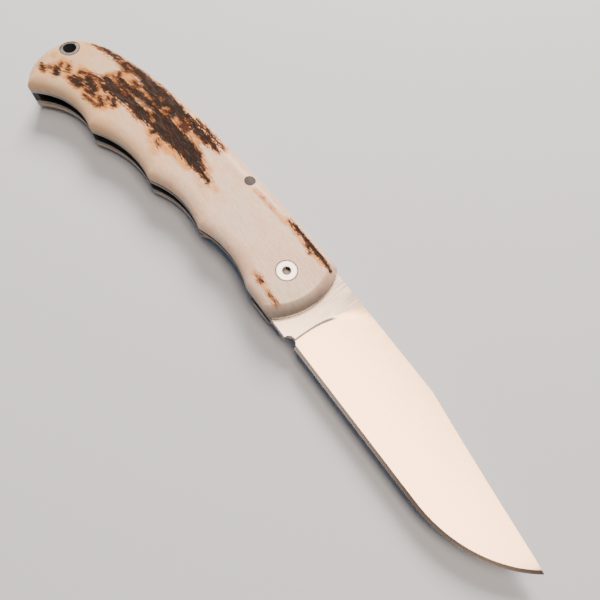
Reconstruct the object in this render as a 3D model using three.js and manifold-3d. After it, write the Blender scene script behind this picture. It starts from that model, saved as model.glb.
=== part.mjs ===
// Folding pocket knife with a liner lock and a finger-grooved stag handle, shown open.
// Millimetres. The knife lies on its left side: +X runs along the blade to its tip, +Y towards the back
// of the handle, +Z up through the thickness. The origin is on the pivot axis, in the plane it lies on.
import * as THREE from "three";
import { mergeVertices } from "three/addons/utils/BufferGeometryUtils.js";
import Module from "manifold-3d";

const wasm = await Module();
wasm.setup();

// Thicknesses, from the face the knife lies on upwards
const scaleThickness = 3.5;
const linerThickness = 1.2;
const bladeThickness = 2.8;
const washerThickness = 0.2;
const runningClearance = 0.05; // between anything that turns and what it turns against

// Handle outline
const buttReach = 108; // pivot axis to the end of the butt
const noseReach = 11.6; // pivot axis to the rounded front end
const noseRadius = 19.8;
const noseRise = 0.7; // the middle of the nose above the pivot axis
const backHeight = 12.95; // pivot axis to the back edge
const backFall = 2; // how far the back has come down where it starts to curve
const bellyDepth = 11.4; // pivot axis to the underside, below the pivot
const buttDrop = 28.3; // pivot level to the lowest corner of the butt
const buttMiddle = 10.9; // pivot level to the rearmost point of the butt
const buttSetback = 9.7; // the lowest corner, forward of the rearmost point
const firstRidge = 3.5; // where the first finger groove ends, behind the pivot axis
const grooveDepths = [2.35, 2.5, 2.75, 4];
const ridgePlaces = [0, 0.243, 0.477, 0.746, 1]; // along the grip, from the first ridge to the butt
const ridgeDrops = [0, 0.038, 0.213, 0.527, 1]; // down the grip, from the underside to the butt
const ridgeEase = 0.6; // how far from a ridge its rounding starts
const noseEase = 0.8; // the same at the two corners of the nose

// Rounded faces of the scales
const scaleEdge = 0.8; // the upright wall beside the liner
const rimRound = 4.5; // width of the rounding along the sides
const noseRound = 3.2; // width of the rounding across the front end

// Blade
const bladeReach = 99.8; // pivot axis to the tip
const spineHeight = 12.95;
const spineFall = 0.7; // between the pivot and the clip
const clipStart = 50; // where the spine starts to drop to the tip
const clipHollow = 0.33; // how far the clip dips below a straight line
const tipHeight = 4.95;
const edgeDepth = 10.55;
const bellyStart = 68; // where the straight edge turns into the curved belly
const bevelWidth = 1;
const shoulderThickness = 0.5; // blade thickness above the sharpening bevel
const tipTaper = 0.6; // how late the spine thins towards the tip: 1 thins it in step with the width
const ricassoDepth = 10.9;
const plungeStart = 16; // where the ground faces begin, at the edge
const plungeLean = 1.2; // how much further forward they begin at the spine
const choilRadius = 2;
const choilForward = 16;
const nickLength = 14; // nail nick, in the left face
const nickWidth = 1.7;
const nickDepth = 0.55;
const nickForward = 29;
const nickHeight = 7.4;

// Pivot
const barrelRadius = 2.4;
const barrelHeadRadius = 3.5;
const barrelHeadThickness = 1;
const screwHeadRadius = 3;
const screwHeadRim = 0.3;
const screwShankRadius = 1.5;
const hexAcrossFlats = 2;
const hexDepth = 1.3;
const washerRadius = 5.2;

// Stop pin and tang
const foldAngle = 171;
const stopPinRadius = 1.6;
const stopPinInset = 3.35; // stop pin axis, nearer the pivot than the back edge
const stopPinAngle = 97;
const tangClearance = 0.3; // between the round heel and the stop pin

// Lock bar
const lockFaceBack = 4.6; // the tang's lock face, behind the pivot axis
const lockFaceTop = 3; // its upper end, below the pivot axis
const lockBarRoot = 60; // where the bar leaves the liner, behind the pivot axis
const lockBarFall = 5; // how far its upper edge falls towards the root
const lockSlotWidth = 0.8;
const lockBarShift = 1.4; // how far its tip springs in between the liners
const lockNoseDrop = 3.2; // height of the bar's end face
const lockNoseRake = 2.6; // how far the corner below that face is cut back
const springReliefLength = 6;
const springReliefDepth = 0.5;
const springReliefBack = 3; // from the root to the relief
const ballRadius = 0.75;
const ballStandOut = 0.4; // beyond the bar's inner face
const ballBack = 2.4; // behind the bar's end face
const ballDrop = 3.4; // below the bar's upper edge
const rootGap = 0.15; // the saw-fine gap drawn between the liner and the bar's root

// Thumb cut-out in the left liner and scale
const thumbRadius = 17.1;
const thumbCentre = 14; // behind the pivot axis
const thumbTop = 6.8; // highest point of the cut-out, below the pivot axis
const thumbFlare = 2.2; // how much wider it is at the outer face

// Backspacer, spacer pin and lanyard tube
const spacerFront = 24.6; // its front end, behind the pivot axis
const spacerWidth = 5.4;
const spacerPinRadius = 1.5;
const spacerPinBack = 29.6;
const spacerPinInset = 3.35; // below the back edge
const tubeRadius = 3;
const tubeBore = 2.1;
const tubeInset = 5; // from the end of the butt
const tubeDrop = 10.4; // below the pivot level
const fitClearance = 0.05; // between a pin and its hole

// Sizes that follow from the others
const stopPinReach = backHeight - stopPinInset;
const tangRadius = stopPinReach - stopPinRadius - tangClearance;
const slotWidth = bladeThickness + 2 * (washerThickness + runningClearance);
const leftLinerBottom = scaleThickness;
const leftLinerTop = leftLinerBottom + linerThickness;
const rightLinerBottom = leftLinerTop + slotWidth;
const rightLinerTop = rightLinerBottom + linerThickness;
const handleTop = rightLinerTop + scaleThickness;
const bladeMiddle = leftLinerTop + slotWidth / 2;
const bladeBottom = bladeMiddle - bladeThickness / 2;
const bladeTop = bladeMiddle + bladeThickness / 2;

const roundSides = 40;
const radians = THREE.MathUtils.degToRad;

// A closed three.js geometry as a solid for joining and cutting
function solidOf(geometry) {
  const bare = geometry.clone();
  bare.deleteAttribute("normal");
  bare.deleteAttribute("uv");
  const merged = mergeVertices(bare, 1e-4);
  return new wasm.Manifold(
    new wasm.Mesh({
      numProp: 3,
      vertProperties: merged.attributes.position.array,
      triVerts: new Uint32Array(merged.index.array),
    }),
  );
}

function geometryOf(solid) {
  const mesh = solid.getMesh();
  const geometry = new THREE.BufferGeometry();
  const places = new Float32Array(mesh.vertProperties);
  geometry.setAttribute("position", new THREE.BufferAttribute(places, 3));
  geometry.setIndex(new THREE.BufferAttribute(new Uint32Array(mesh.triVerts), 1));
  const faceted = geometry.toNonIndexed();
  faceted.computeVertexNormals();
  return faceted;
}

// An outline drawn up from one height to another
function plate(shape, bottom, top, curveSegments = 12) {
  const options = { depth: top - bottom, bevelEnabled: false, curveSegments };
  return solidOf(new THREE.ExtrudeGeometry(shape, options).translate(0, 0, bottom));
}

// An upright rod or cone between two heights
function rod(x, y, radius, bottom, top, topRadius = radius, sides = roundSides) {
  const cylinder = new THREE.CylinderGeometry(topRadius, radius, top - bottom, sides);
  cylinder.rotateX(Math.PI / 2);
  return solidOf(cylinder.translate(x, y, (bottom + top) / 2));
}

// A closed skin through rings of points that run alike; the first and last rings may shrink to a point
function loft(rings) {
  const corners = [];
  const count = rings[0].length;
  const face = (a, b, c) => {
    const same = a.distanceTo(b) < 1e-5 || b.distanceTo(c) < 1e-5 || c.distanceTo(a) < 1e-5;
    if (!same) corners.push(a, b, c);
  };
  for (let i = 0; i < rings.length - 1; i++) {
    for (let j = 0; j < count; j++) {
      const next = (j + 1) % count;
      face(rings[i][j], rings[i][next], rings[i + 1][next]);
      face(rings[i][j], rings[i + 1][next], rings[i + 1][j]);
    }
  }
  const last = rings[rings.length - 1];
  for (let j = 1; j < count - 1; j++) {
    face(rings[0][0], rings[0][j + 1], rings[0][j]);
    face(last[0], last[j], last[j + 1]);
  }
  return solidOf(new THREE.BufferGeometry().setFromPoints(corners));
}

// Height of a line of points, sorted by x, at a given x
function heightAt(points, x) {
  let i = 1;
  while (i < points.length - 1 && points[i].x < x) i++;
  const [a, b] = [points[i - 1], points[i]];
  const share = b.x > a.x ? THREE.MathUtils.clamp((x - a.x) / (b.x - a.x), 0, 1) : 1;
  return a.y + share * (b.y - a.y);
}

// Handle outline
const noseCentre = new THREE.Vector2(noseReach - noseRadius, noseRise);
const noseX = (y) => noseCentre.x + Math.sqrt(noseRadius ** 2 - (y - noseCentre.y) ** 2);
const noseTop = new THREE.Vector2(noseX(backHeight), backHeight);
const noseBottom = new THREE.Vector2(noseX(-bellyDepth), -bellyDepth);
const buttEnd = new THREE.Vector2(-buttReach, -buttMiddle);
const buttCorner = new THREE.Vector2(buttSetback - buttReach, -buttDrop);
const curveStart = new THREE.Vector2(-0.42 * buttReach, backHeight - backFall);

// Joins lines of points end to end and eases the corner between each two of them
function joined(lines, eases) {
  const points = [...lines[0]];
  const towards = (from, to, reach) => from.clone().add(to.clone().sub(from).setLength(reach));
  for (let i = 1; i < lines.length; i++) {
    const corner = points[points.length - 1];
    const ease = eases[i - 1];
    while (points[points.length - 1].distanceTo(corner) < ease) points.pop();
    const rest = lines[i].filter((point) => point.distanceTo(corner) > ease);
    const start = towards(corner, points[points.length - 1], ease);
    const end = towards(corner, rest[0], ease);
    points.push(...new THREE.QuadraticBezierCurve(start, corner, end).getPoints(3), ...rest);
  }
  return points;
}

// The rounded front end, from one of its corners to its middle; side is 1 above and -1 below
function noseLine(side) {
  const from = Math.max(noseTop.x, noseBottom.x);
  return Array.from({ length: 7 }, (_, i) => {
    const x = THREE.MathUtils.lerp(from, noseReach, Math.sin(((i + 1) / 7) * (Math.PI / 2)));
    const rise = Math.sqrt(Math.max(0, noseRadius ** 2 - (x - noseCentre.x) ** 2));
    return new THREE.Vector2(x, noseCentre.y + side * rise);
  });
}

// The back, from the butt end: one sweep up round the butt, then nearly straight to the nose
function backLine() {
  const path = new THREE.Path();
  path.moveTo(buttEnd.x, buttEnd.y);
  path.bezierCurveTo(
    buttEnd.x, buttEnd.y + 17.4,
    curveStart.x - 5, curveStart.y - 0.25,
    curveStart.x, curveStart.y,
  );
  path.bezierCurveTo(
    curveStart.x + 15, curveStart.y + 0.77,
    curveStart.x + 32, backHeight - 0.15,
    2, backHeight,
  );
  path.lineTo(noseTop.x, noseTop.y);
  return joined([path.getPoints(12), noseLine(1)], [noseEase]);
}

// A finger groove is an arc that rises above the straight line between its two ridges
function groovePoints(from, to, depth) {
  const count = 9;
  const chord = from.distanceTo(to);
  const radius = (chord ** 2 / 4 + depth ** 2) / (2 * depth);
  const along = to.clone().sub(from).normalize();
  const up = new THREE.Vector2(-along.y, along.x);
  return Array.from({ length: count }, (_, i) => {
    const reach = ((i + 1) / count - 0.5) * chord;
    const rise = Math.sqrt(radius ** 2 - reach ** 2) - (radius - depth);
    const middle = from.clone().lerp(to, 0.5);
    return middle.addScaledVector(along, reach).addScaledVector(up, rise);
  });
}

// The underside, from the butt end: round the butt, four grooves, a short flat, then the nose
function undersideLine() {
  const butt = new THREE.CubicBezierCurve(
    buttEnd,
    new THREE.Vector2(buttEnd.x, buttEnd.y - 5.6),
    new THREE.Vector2(buttEnd.x + 0.7, buttCorner.y + 5.2),
    buttCorner,
  );
  const grip = buttReach - buttSetback - firstRidge;
  const ridges = ridgePlaces.map(
    (place, i) =>
      new THREE.Vector2(
        -firstRidge - place * grip,
        -bellyDepth - ridgeDrops[i] * (buttDrop - bellyDepth),
      ),
  );
  const grooves = ridges.slice(1).map((ridge, i) => groovePoints(ridge, ridges[i], grooveDepths[i]));
  const lines = [butt.getPoints(10), ...grooves.reverse(), [noseBottom], noseLine(-1)];
  return joined(lines, [...grooves.map(() => ridgeEase), ridgeEase, noseEase]);
}

const back = backLine();
const underside = undersideLine();

// Both edges are drawn at the same places along the handle, wherever either of them has a point
const placesApart = 0.04;
const stations = [...underside, ...back]
  .map((point) => point.x)
  .sort((a, b) => a - b)
  .filter((x, i, all) => i === 0 || x - all[i - 1] > placesApart);
stations[stations.length - 1] = noseReach;
const bottomEdge = stations.map((x) => new THREE.Vector2(x, heightAt(underside, x)));
const topEdge = stations.map((x) => new THREE.Vector2(x, heightAt(back, x)));
bottomEdge[0].copy(topEdge[0]);
bottomEdge[stations.length - 1].copy(topEdge[stations.length - 1]);
const handleOutline = [...bottomEdge, ...topEdge.slice(1, -1).reverse()];
const handleShape = new THREE.Shape(handleOutline);

function distanceToSegment(x, y, a, b) {
  const [dx, dy] = [b.x - a.x, b.y - a.y];
  const share = ((x - a.x) * dx + (y - a.y) * dy) / (dx * dx + dy * dy);
  const t = THREE.MathUtils.clamp(share, 0, 1);
  return Math.hypot(x - a.x - t * dx, y - a.y - t * dy);
}

// Distance to the sides and the butt; the nose has a rounding of its own
function distanceToRim(x, y) {
  let nearest = Infinity;
  for (const edge of [bottomEdge, topEdge]) {
    for (let i = 1; i < edge.length && edge[i - 1].x < noseTop.x; i++) {
      nearest = Math.min(nearest, distanceToSegment(x, y, edge[i - 1], edge[i]));
    }
  }
  return nearest;
}

const quarterRound = (distance, width) => {
  const left = 1 - THREE.MathUtils.clamp(distance / width, 0, 1);
  return Math.sqrt(1 - left * left);
};

// Height of a scale's outer face above the liner: flat in the middle, rounded off all round
function scaleHeight(x, y) {
  const fromCentre = Math.hypot(x - noseCentre.x, y - noseCentre.y);
  const nose = x > noseCentre.x ? quarterRound(noseRadius - fromCentre, noseRound) : 1;
  const rounding = nose * quarterRound(distanceToRim(x, y), rimRound);
  return scaleEdge + (scaleThickness - scaleEdge) * rounding;
}

// A scale with its flat side at height 0 and its rounded side up, before anything is cut in it
function scaleBlank() {
  const across = 12;
  const corners = [];
  const rows = stations.map((x, i) =>
    Array.from({ length: across + 1 }, (_, j) => {
      const share = (1 - Math.cos((Math.PI * j) / across)) / 2;
      const y = THREE.MathUtils.lerp(bottomEdge[i].y, topEdge[i].y, share);
      return new THREE.Vector3(x, y, scaleHeight(x, y));
    }),
  );
  const face = (a, b, c) => {
    const same = a.distanceTo(b) < 1e-5 || b.distanceTo(c) < 1e-5 || c.distanceTo(a) < 1e-5;
    if (!same) corners.push(a, b, c);
  };
  const down = (point) => new THREE.Vector3(point.x, point.y, 0);
  for (let i = 0; i < rows.length - 1; i++) {
    for (let j = 0; j < across; j++) {
      face(rows[i][j], rows[i + 1][j], rows[i + 1][j + 1]);
      face(rows[i][j], rows[i + 1][j + 1], rows[i][j + 1]);
    }
    for (const [a, b] of [
      [rows[i][0], rows[i + 1][0]],
      [rows[i + 1][across], rows[i][across]],
    ]) {
      face(down(a), down(b), b);
      face(down(a), b, a);
    }
  }
  const flat = THREE.ShapeUtils.triangulateShape(handleOutline, []);
  const floor = handleOutline.map((point) => new THREE.Vector3(point.x, point.y, 0));
  for (const [a, b, c] of flat) face(floor[a], floor[c], floor[b]);
  return new THREE.BufferGeometry().setFromPoints(corners);
}

// The same geometry turned over, with its faces turned back outwards
function turnedOver(geometry) {
  const flipped = geometry.clone().scale(1, 1, -1);
  const place = flipped.attributes.position;
  for (let i = 0; i < place.count; i += 3) {
    const first = new THREE.Vector3().fromBufferAttribute(place, i);
    const third = new THREE.Vector3().fromBufferAttribute(place, i + 2);
    place.setXYZ(i, third.x, third.y, third.z);
    place.setXYZ(i + 2, first.x, first.y, first.z);
  }
  return flipped;
}

const blank = scaleBlank();
const rightBlank = solidOf(blank.clone().translate(0, 0, rightLinerTop));
const leftBlank = solidOf(turnedOver(blank).translate(0, 0, leftLinerBottom));
const filledHandle = leftBlank
  .add(plate(handleShape, leftLinerBottom, rightLinerTop))
  .add(rightBlank);

// Fixed places
const spacerPin = new THREE.Vector2(
  -spacerPinBack,
  heightAt(back, -spacerPinBack) - spacerPinInset,
);
const tube = new THREE.Vector2(tubeInset - buttReach, -tubeDrop);
const stopPin = new THREE.Vector2(stopPinReach, 0).rotateAround(
  new THREE.Vector2(),
  radians(stopPinAngle),
);

// Holes that go through the liners and scales alike
function throughHoles(bottom, top) {
  return rod(spacerPin.x, spacerPin.y, spacerPinRadius + fitClearance, bottom, top).add(
    rod(tube.x, tube.y, tubeRadius + fitClearance, bottom, top),
  );
}

const thumbCutOut = rod(
  -thumbCentre,
  -thumbTop - thumbRadius,
  thumbRadius + thumbFlare,
  -1,
  leftLinerTop + 1,
  thumbRadius,
  96,
);

// Scales
const screwHeadHeight = screwHeadRim + screwHeadRadius - screwShankRadius;
const barrelTop = handleTop - screwHeadHeight - runningClearance;

function rightScale() {
  const headSeat = rod(
    0,
    0,
    screwShankRadius + fitClearance,
    handleTop - screwHeadHeight,
    handleTop - screwHeadRim,
    screwHeadRadius + fitClearance,
  );
  const rim = rod(0, 0, screwHeadRadius + fitClearance, handleTop - screwHeadRim, handleTop + 1);
  const barrel = rod(
    0,
    0,
    barrelRadius + fitClearance,
    rightLinerTop - 1,
    handleTop - screwHeadHeight,
  );
  return rightBlank
    .subtract(throughHoles(rightLinerTop - 1, handleTop + 1))
    .subtract(headSeat)
    .subtract(rim)
    .subtract(barrel);
}

function leftScale() {
  const headSeat = rod(0, 0, barrelHeadRadius + fitClearance, -1, barrelHeadThickness);
  const barrel = rod(0, 0, barrelRadius + fitClearance, -1, leftLinerBottom + 1);
  return leftBlank
    .subtract(throughHoles(-1, leftLinerBottom + 1))
    .subtract(headSeat)
    .subtract(barrel)
    .subtract(thumbCutOut);
}

// Liners and lock bar
function linerBlank(bottom, top) {
  return plate(handleShape, bottom, top)
    .subtract(throughHoles(bottom - 1, top + 1))
    .subtract(rod(0, 0, barrelRadius + fitClearance, bottom - 1, top + 1))
    .subtract(rod(stopPin.x, stopPin.y, stopPinRadius + fitClearance, bottom - 1, top + 1));
}

const lockTipX = -lockFaceBack - runningClearance;
const lockBarTop = -lockFaceTop - lockSlotWidth / 2;
const barTopAt = (x) =>
  lockBarTop + (lockBarFall * (x - lockTipX)) / (lockBarRoot - lockFaceBack);
const belowHandle = -buttDrop - 5;

// Outline of the bar, or, with a width, of the slot that is cut round it
function lockBarShape(slot, root) {
  const tip = lockTipX + slot;
  const noseLow = lockBarTop - lockNoseDrop;
  const rake = new THREE.Vector2(-lockNoseRake, noseLow + bellyDepth).length();
  return new THREE.Shape([
    new THREE.Vector2(root, belowHandle),
    new THREE.Vector2(tip - (lockNoseRake * (noseLow - belowHandle)) / rake, belowHandle),
    new THREE.Vector2(tip, noseLow),
    new THREE.Vector2(tip, barTopAt(tip) + slot),
    new THREE.Vector2(root, barTopAt(root) + slot),
  ]);
}

function rightLiner() {
  const slot = lockBarShape(lockSlotWidth, -lockBarRoot - rootGap);
  return linerBlank(rightLinerBottom, rightLinerTop).subtract(
    plate(slot, rightLinerBottom - 1, rightLinerTop + 1),
  );
}

const leftLiner = () => linerBlank(leftLinerBottom, leftLinerTop).subtract(thumbCutOut);

const ballPlace = new THREE.Vector3(
  lockTipX - ballBack,
  barTopAt(lockTipX - ballBack) - ballDrop,
  rightLinerBottom - ballStandOut + ballRadius,
);

function lockBar() {
  const outline = lockBarShape(0, -lockBarRoot);
  const reliefStart = -lockBarRoot + springReliefBack;
  const relief = new THREE.BoxGeometry(springReliefLength, buttDrop, 2 * springReliefDepth).translate(
    reliefStart + springReliefLength / 2,
    barTopAt(reliefStart) - buttDrop / 2 + 1,
    rightLinerTop,
  );
  return plate(handleShape, rightLinerBottom, rightLinerTop)
    .intersect(plate(outline, rightLinerBottom - 1, rightLinerTop + 1))
    .subtract(rod(ballPlace.x, ballPlace.y, ballRadius + fitClearance, 0, handleTop, undefined, 20))
    .subtract(solidOf(relief));
}

// Backspacer
// It follows the back, wraps round the lanyard tube and closes the butt; the blade folds into the rest
function backspacer() {
  const inner = (x) => heightAt(back, x) - spacerWidth;
  const turn = -0.74 * buttReach;
  const well = new THREE.Shape();
  well.moveTo(noseReach + 5, belowHandle);
  well.lineTo(noseReach + 5, backHeight + 5);
  well.lineTo(-spacerFront, backHeight + 5);
  well.lineTo(-spacerFront, inner(-spacerFront));
  for (const share of [0.25, 0.5, 0.75, 1]) {
    const x = THREE.MathUtils.lerp(-spacerFront, turn, share);
    well.lineTo(x, inner(x));
  }
  well.bezierCurveTo(
    turn - 9, inner(turn) - 2,
    tube.x + tubeRadius + 0.5, tube.y + 4,
    tube.x + tubeRadius + 1.6, tube.y - 3.5,
  );
  well.bezierCurveTo(
    tube.x + tubeRadius + 0.4, tube.y - 9,
    buttCorner.x - 0.6, buttCorner.y + 6,
    buttCorner.x + 2, buttCorner.y,
  );
  well.lineTo(buttCorner.x + 2, belowHandle);
  return plate(handleShape, leftLinerTop, rightLinerBottom)
    .subtract(plate(well, leftLinerTop - 1, rightLinerBottom + 1, 14))
    .subtract(throughHoles(leftLinerTop - 1, rightLinerBottom + 1));
}

// Blade
function spineY(x) {
  if (x < clipStart) return spineHeight - (spineFall * x) / clipStart;
  const share = (x - clipStart) / (bladeReach - clipStart);
  const straight = THREE.MathUtils.lerp(spineHeight - spineFall, tipHeight, share);
  return straight - 4 * clipHollow * share * (1 - share);
}

const bellyRise = tipHeight + edgeDepth;
const bellyRadius = ((bladeReach - bellyStart) ** 2 + bellyRise ** 2) / (2 * bellyRise);
const edgeY = (x) =>
  x < bellyStart
    ? -edgeDepth
    : bellyRadius - edgeDepth - Math.sqrt(bellyRadius ** 2 - (x - bellyStart) ** 2);

// Half the thickness where a ground face meets the spine, thinner as the blade narrows to the tip
function halfSpine(x) {
  const share = (spineY(x) - edgeY(x)) / (spineY(clipStart) + edgeDepth);
  const shoulder = shoulderThickness / 2;
  const left = THREE.MathUtils.clamp(share, 0, 1) ** tipTaper;
  return shoulder + (bladeThickness / 2 - shoulder) * left;
}

function bladeSection(x) {
  const [top, low] = [spineY(x), edgeY(x)];
  const slope = x > bellyStart ? (x - bellyStart) / bellyRadius : 0;
  const bevel = Math.min(bevelWidth / Math.sqrt(1 - slope ** 2), (top - low) / 2);
  const taper = Math.min(1, (bladeReach - x) / bevelWidth);
  const spine = halfSpine(x) * taper;
  const shoulder = Math.min(spine, (shoulderThickness / 2) * taper);
  const point = (y, offset) => new THREE.Vector3(x, y, bladeMiddle + offset);
  return [
    point(top, spine),
    point(low + bevel, shoulder),
    point(low, 0),
    point(low + bevel, -shoulder),
    point(top, -spine),
  ];
}

function groundBlade() {
  const straight = [plungeStart - 2, clipStart / 2, clipStart, (clipStart + bellyStart) / 2];
  const belly = Array.from({ length: 15 }, (_, i) => {
    const share = Math.sin((i / 14) * (Math.PI / 2));
    return THREE.MathUtils.lerp(bellyStart, bladeReach, share);
  });
  return loft([...straight, ...belly].map(bladeSection));
}

// The tang: a round heel inside two shoulders that meet the stop pin, and the lock face behind it
function tangShape() {
  const foldedPin = stopPin.clone().rotateAround(new THREE.Vector2(), radians(foldAngle));
  const openShoulder = stopPin.x + stopPinRadius + runningClearance;
  const foldedShoulder = foldedPin.x + stopPinRadius + runningClearance;
  const heelAngle = (x, sign) => Math.atan2(sign * Math.sqrt(tangRadius ** 2 - x ** 2), x);
  const faceTop = Math.PI + Math.asin(lockFaceTop / tangRadius);
  const faceLow = heelAngle(-lockFaceBack, -1) + 2 * Math.PI;
  const shape = new THREE.Shape();
  shape.moveTo(plungeStart + plungeLean, spineY(plungeStart + plungeLean));
  shape.lineTo(openShoulder, spineY(openShoulder));
  shape.absarc(0, 0, tangRadius, heelAngle(openShoulder, 1), faceTop, false);
  shape.lineTo(-lockFaceBack, -lockFaceTop);
  shape.absarc(0, 0, tangRadius, faceLow, heelAngle(foldedShoulder, -1) + 2 * Math.PI, false);
  shape.lineTo(foldedShoulder, -ricassoDepth);
  shape.lineTo(plungeStart, -ricassoDepth);
  return shape;
}

// Nail nick: the shallow bite of a large disc cutter, set across the left face
function nailNick() {
  const radius = nickLength ** 2 / (8 * nickDepth);
  const half = Math.asin(nickLength / radius / 2) * 1.3;
  const slot = new THREE.Shape();
  slot.absarc(0, 0, radius, Math.PI / 2 - half, Math.PI / 2 + half, false);
  const cutter = new THREE.ExtrudeGeometry(slot, {
    depth: nickWidth,
    bevelEnabled: false,
    curveSegments: 10,
  });
  cutter.rotateX(Math.PI / 2);
  const ground = halfSpine(nickForward) - shoulderThickness / 2;
  const share = (nickHeight + edgeDepth) / (spineY(nickForward) + edgeDepth);
  const face = bladeMiddle - shoulderThickness / 2 - ground * share;
  return solidOf(cutter.translate(nickForward, nickHeight + nickWidth / 2, face + nickDepth - radius));
}

function blade() {
  const foldedBall = new THREE.Vector2(ballPlace.x, ballPlace.y).rotateAround(
    new THREE.Vector2(),
    radians(foldAngle),
  );
  return plate(tangShape(), bladeBottom, bladeTop)
    .add(groundBlade())
    .subtract(rod(0, 0, barrelRadius + fitClearance, 0, handleTop))
    .subtract(rod(choilForward, -ricassoDepth, choilRadius, 0, handleTop))
    .subtract(rod(foldedBall.x, foldedBall.y, ballRadius, bladeTop - ballStandOut, handleTop))
    .subtract(nailNick());
}

// Pivot and pins
function washer(bottom) {
  return rod(0, 0, washerRadius, bottom, bottom + washerThickness).subtract(
    rod(0, 0, barrelRadius + fitClearance, bottom - 1, bottom + 1),
  );
}

function pivotBarrel() {
  const bore = rod(0, 0, screwShankRadius + fitClearance, barrelHeadThickness + 1, handleTop);
  return rod(0, 0, barrelHeadRadius, 0, barrelHeadThickness)
    .add(rod(0, 0, barrelRadius, 0, barrelTop - runningClearance))
    .subtract(bore);
}

function pivotScrew() {
  const socket = new THREE.CylinderGeometry(1, 1, 2 * hexDepth, 6);
  socket.scale(hexAcrossFlats / Math.sqrt(3), 1, hexAcrossFlats / Math.sqrt(3));
  socket.rotateX(Math.PI / 2).translate(0, 0, handleTop);
  const headBottom = handleTop - screwHeadHeight;
  return rod(0, 0, screwShankRadius, leftLinerTop, headBottom + 0.1)
    .add(rod(0, 0, screwShankRadius, headBottom, handleTop - screwHeadRim, screwHeadRadius))
    .add(rod(0, 0, screwHeadRadius, handleTop - screwHeadRim, handleTop))
    .subtract(solidOf(socket));
}

// Pins and the tube are filed flush with the rounded scales
function flushPin() {
  return rod(spacerPin.x, spacerPin.y, spacerPinRadius, -1, handleTop + 1).intersect(filledHandle);
}

function lanyardTube() {
  return rod(tube.x, tube.y, tubeRadius, -1, handleTop + 1)
    .intersect(filledHandle)
    .subtract(rod(tube.x, tube.y, tubeBore, -2, handleTop + 2));
}

// Materials
const stag = new THREE.MeshStandardMaterial({ color: 0xd8c8b6, roughness: 0.35 });
const satinSteel = new THREE.MeshStandardMaterial({ color: 0xcfc9c2, roughness: 0.35, metalness: 1 });
const linerSteel = new THREE.MeshStandardMaterial({ color: 0x8d8f92, roughness: 0.4, metalness: 1 });
const polishedSteel = new THREE.MeshStandardMaterial({ color: 0xe2e2e0, roughness: 0.2, metalness: 1 });
const bronze = new THREE.MeshStandardMaterial({ color: 0xb08d57, roughness: 0.4, metalness: 1 });
const spacerSteel = new THREE.MeshStandardMaterial({ color: 0x6f6a66, roughness: 0.5, metalness: 1 });

function piece(name, solid, material) {
  const mesh = new THREE.Mesh(geometryOf(solid), material);
  mesh.name = name;
  return mesh;
}

// Assembly
const knife = new THREE.Group();
const handle = new THREE.Group();
handle.add(
  piece("left_scale", leftScale(), stag),
  piece("right_scale", rightScale(), stag),
  piece("left_liner", leftLiner(), linerSteel),
  piece("right_liner", rightLiner(), linerSteel),
  piece("backspacer", backspacer(), spacerSteel),
  piece("left_washer", washer(leftLinerTop), bronze),
  piece("right_washer", washer(rightLinerBottom - washerThickness), bronze),
  piece("pivot_barrel", pivotBarrel(), polishedSteel),
  piece("pivot_screw", pivotScrew(), polishedSteel),
  piece(
    "stop_pin",
    rod(stopPin.x, stopPin.y, stopPinRadius, leftLinerBottom, rightLinerTop),
    polishedSteel,
  ),
  piece("spacer_pin", flushPin(), polishedSteel),
  piece("lanyard_tube", lanyardTube(), polishedSteel),
);

const bladeGroup = new THREE.Group();
bladeGroup.add(piece("blade", blade(), satinSteel));

// The lock bar springs in about its root, until its tip stands behind the tang
const spring = new THREE.Group();
const ball = new THREE.SphereGeometry(ballRadius, 16, 10).rotateX(Math.PI / 2);
const ballSolid = solidOf(ball.translate(ballPlace.x, ballPlace.y, ballPlace.z));
for (const part of [
  piece("lock_bar", lockBar(), linerSteel),
  piece("detent_ball", ballSolid, polishedSteel),
]) {
  part.geometry.translate(lockBarRoot, 0, -rightLinerBottom);
  spring.add(part);
}
spring.position.set(-lockBarRoot, 0, rightLinerBottom);
spring.rotation.y = Math.asin(lockBarShift / (lockBarRoot + lockTipX));

knife.add(handle, bladeGroup, spring);

export default knife;
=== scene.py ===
import math
from functools import partial

import bmesh
import bpy
import numpy as np
from mathutils import Euler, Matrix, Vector


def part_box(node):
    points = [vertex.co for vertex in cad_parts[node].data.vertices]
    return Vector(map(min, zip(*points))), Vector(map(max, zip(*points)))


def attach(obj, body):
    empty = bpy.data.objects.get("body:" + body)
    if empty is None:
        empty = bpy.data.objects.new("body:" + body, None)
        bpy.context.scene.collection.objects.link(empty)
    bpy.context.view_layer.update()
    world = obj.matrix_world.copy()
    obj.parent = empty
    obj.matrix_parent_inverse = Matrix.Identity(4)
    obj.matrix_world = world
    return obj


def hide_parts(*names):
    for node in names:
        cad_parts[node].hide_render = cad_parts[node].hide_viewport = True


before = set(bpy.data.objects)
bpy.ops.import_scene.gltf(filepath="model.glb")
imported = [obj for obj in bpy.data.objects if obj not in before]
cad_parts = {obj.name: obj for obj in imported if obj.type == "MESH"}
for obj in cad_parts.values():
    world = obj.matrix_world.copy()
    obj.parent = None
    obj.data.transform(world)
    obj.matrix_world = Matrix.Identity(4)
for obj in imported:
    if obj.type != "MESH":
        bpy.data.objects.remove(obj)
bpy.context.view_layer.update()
mm = 0.001


def boxOf(node):
    # a CAD node's lowest and highest corner, in mm
    low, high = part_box(node)
    return np.array(low) / mm, np.array(high) / mm


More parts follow.
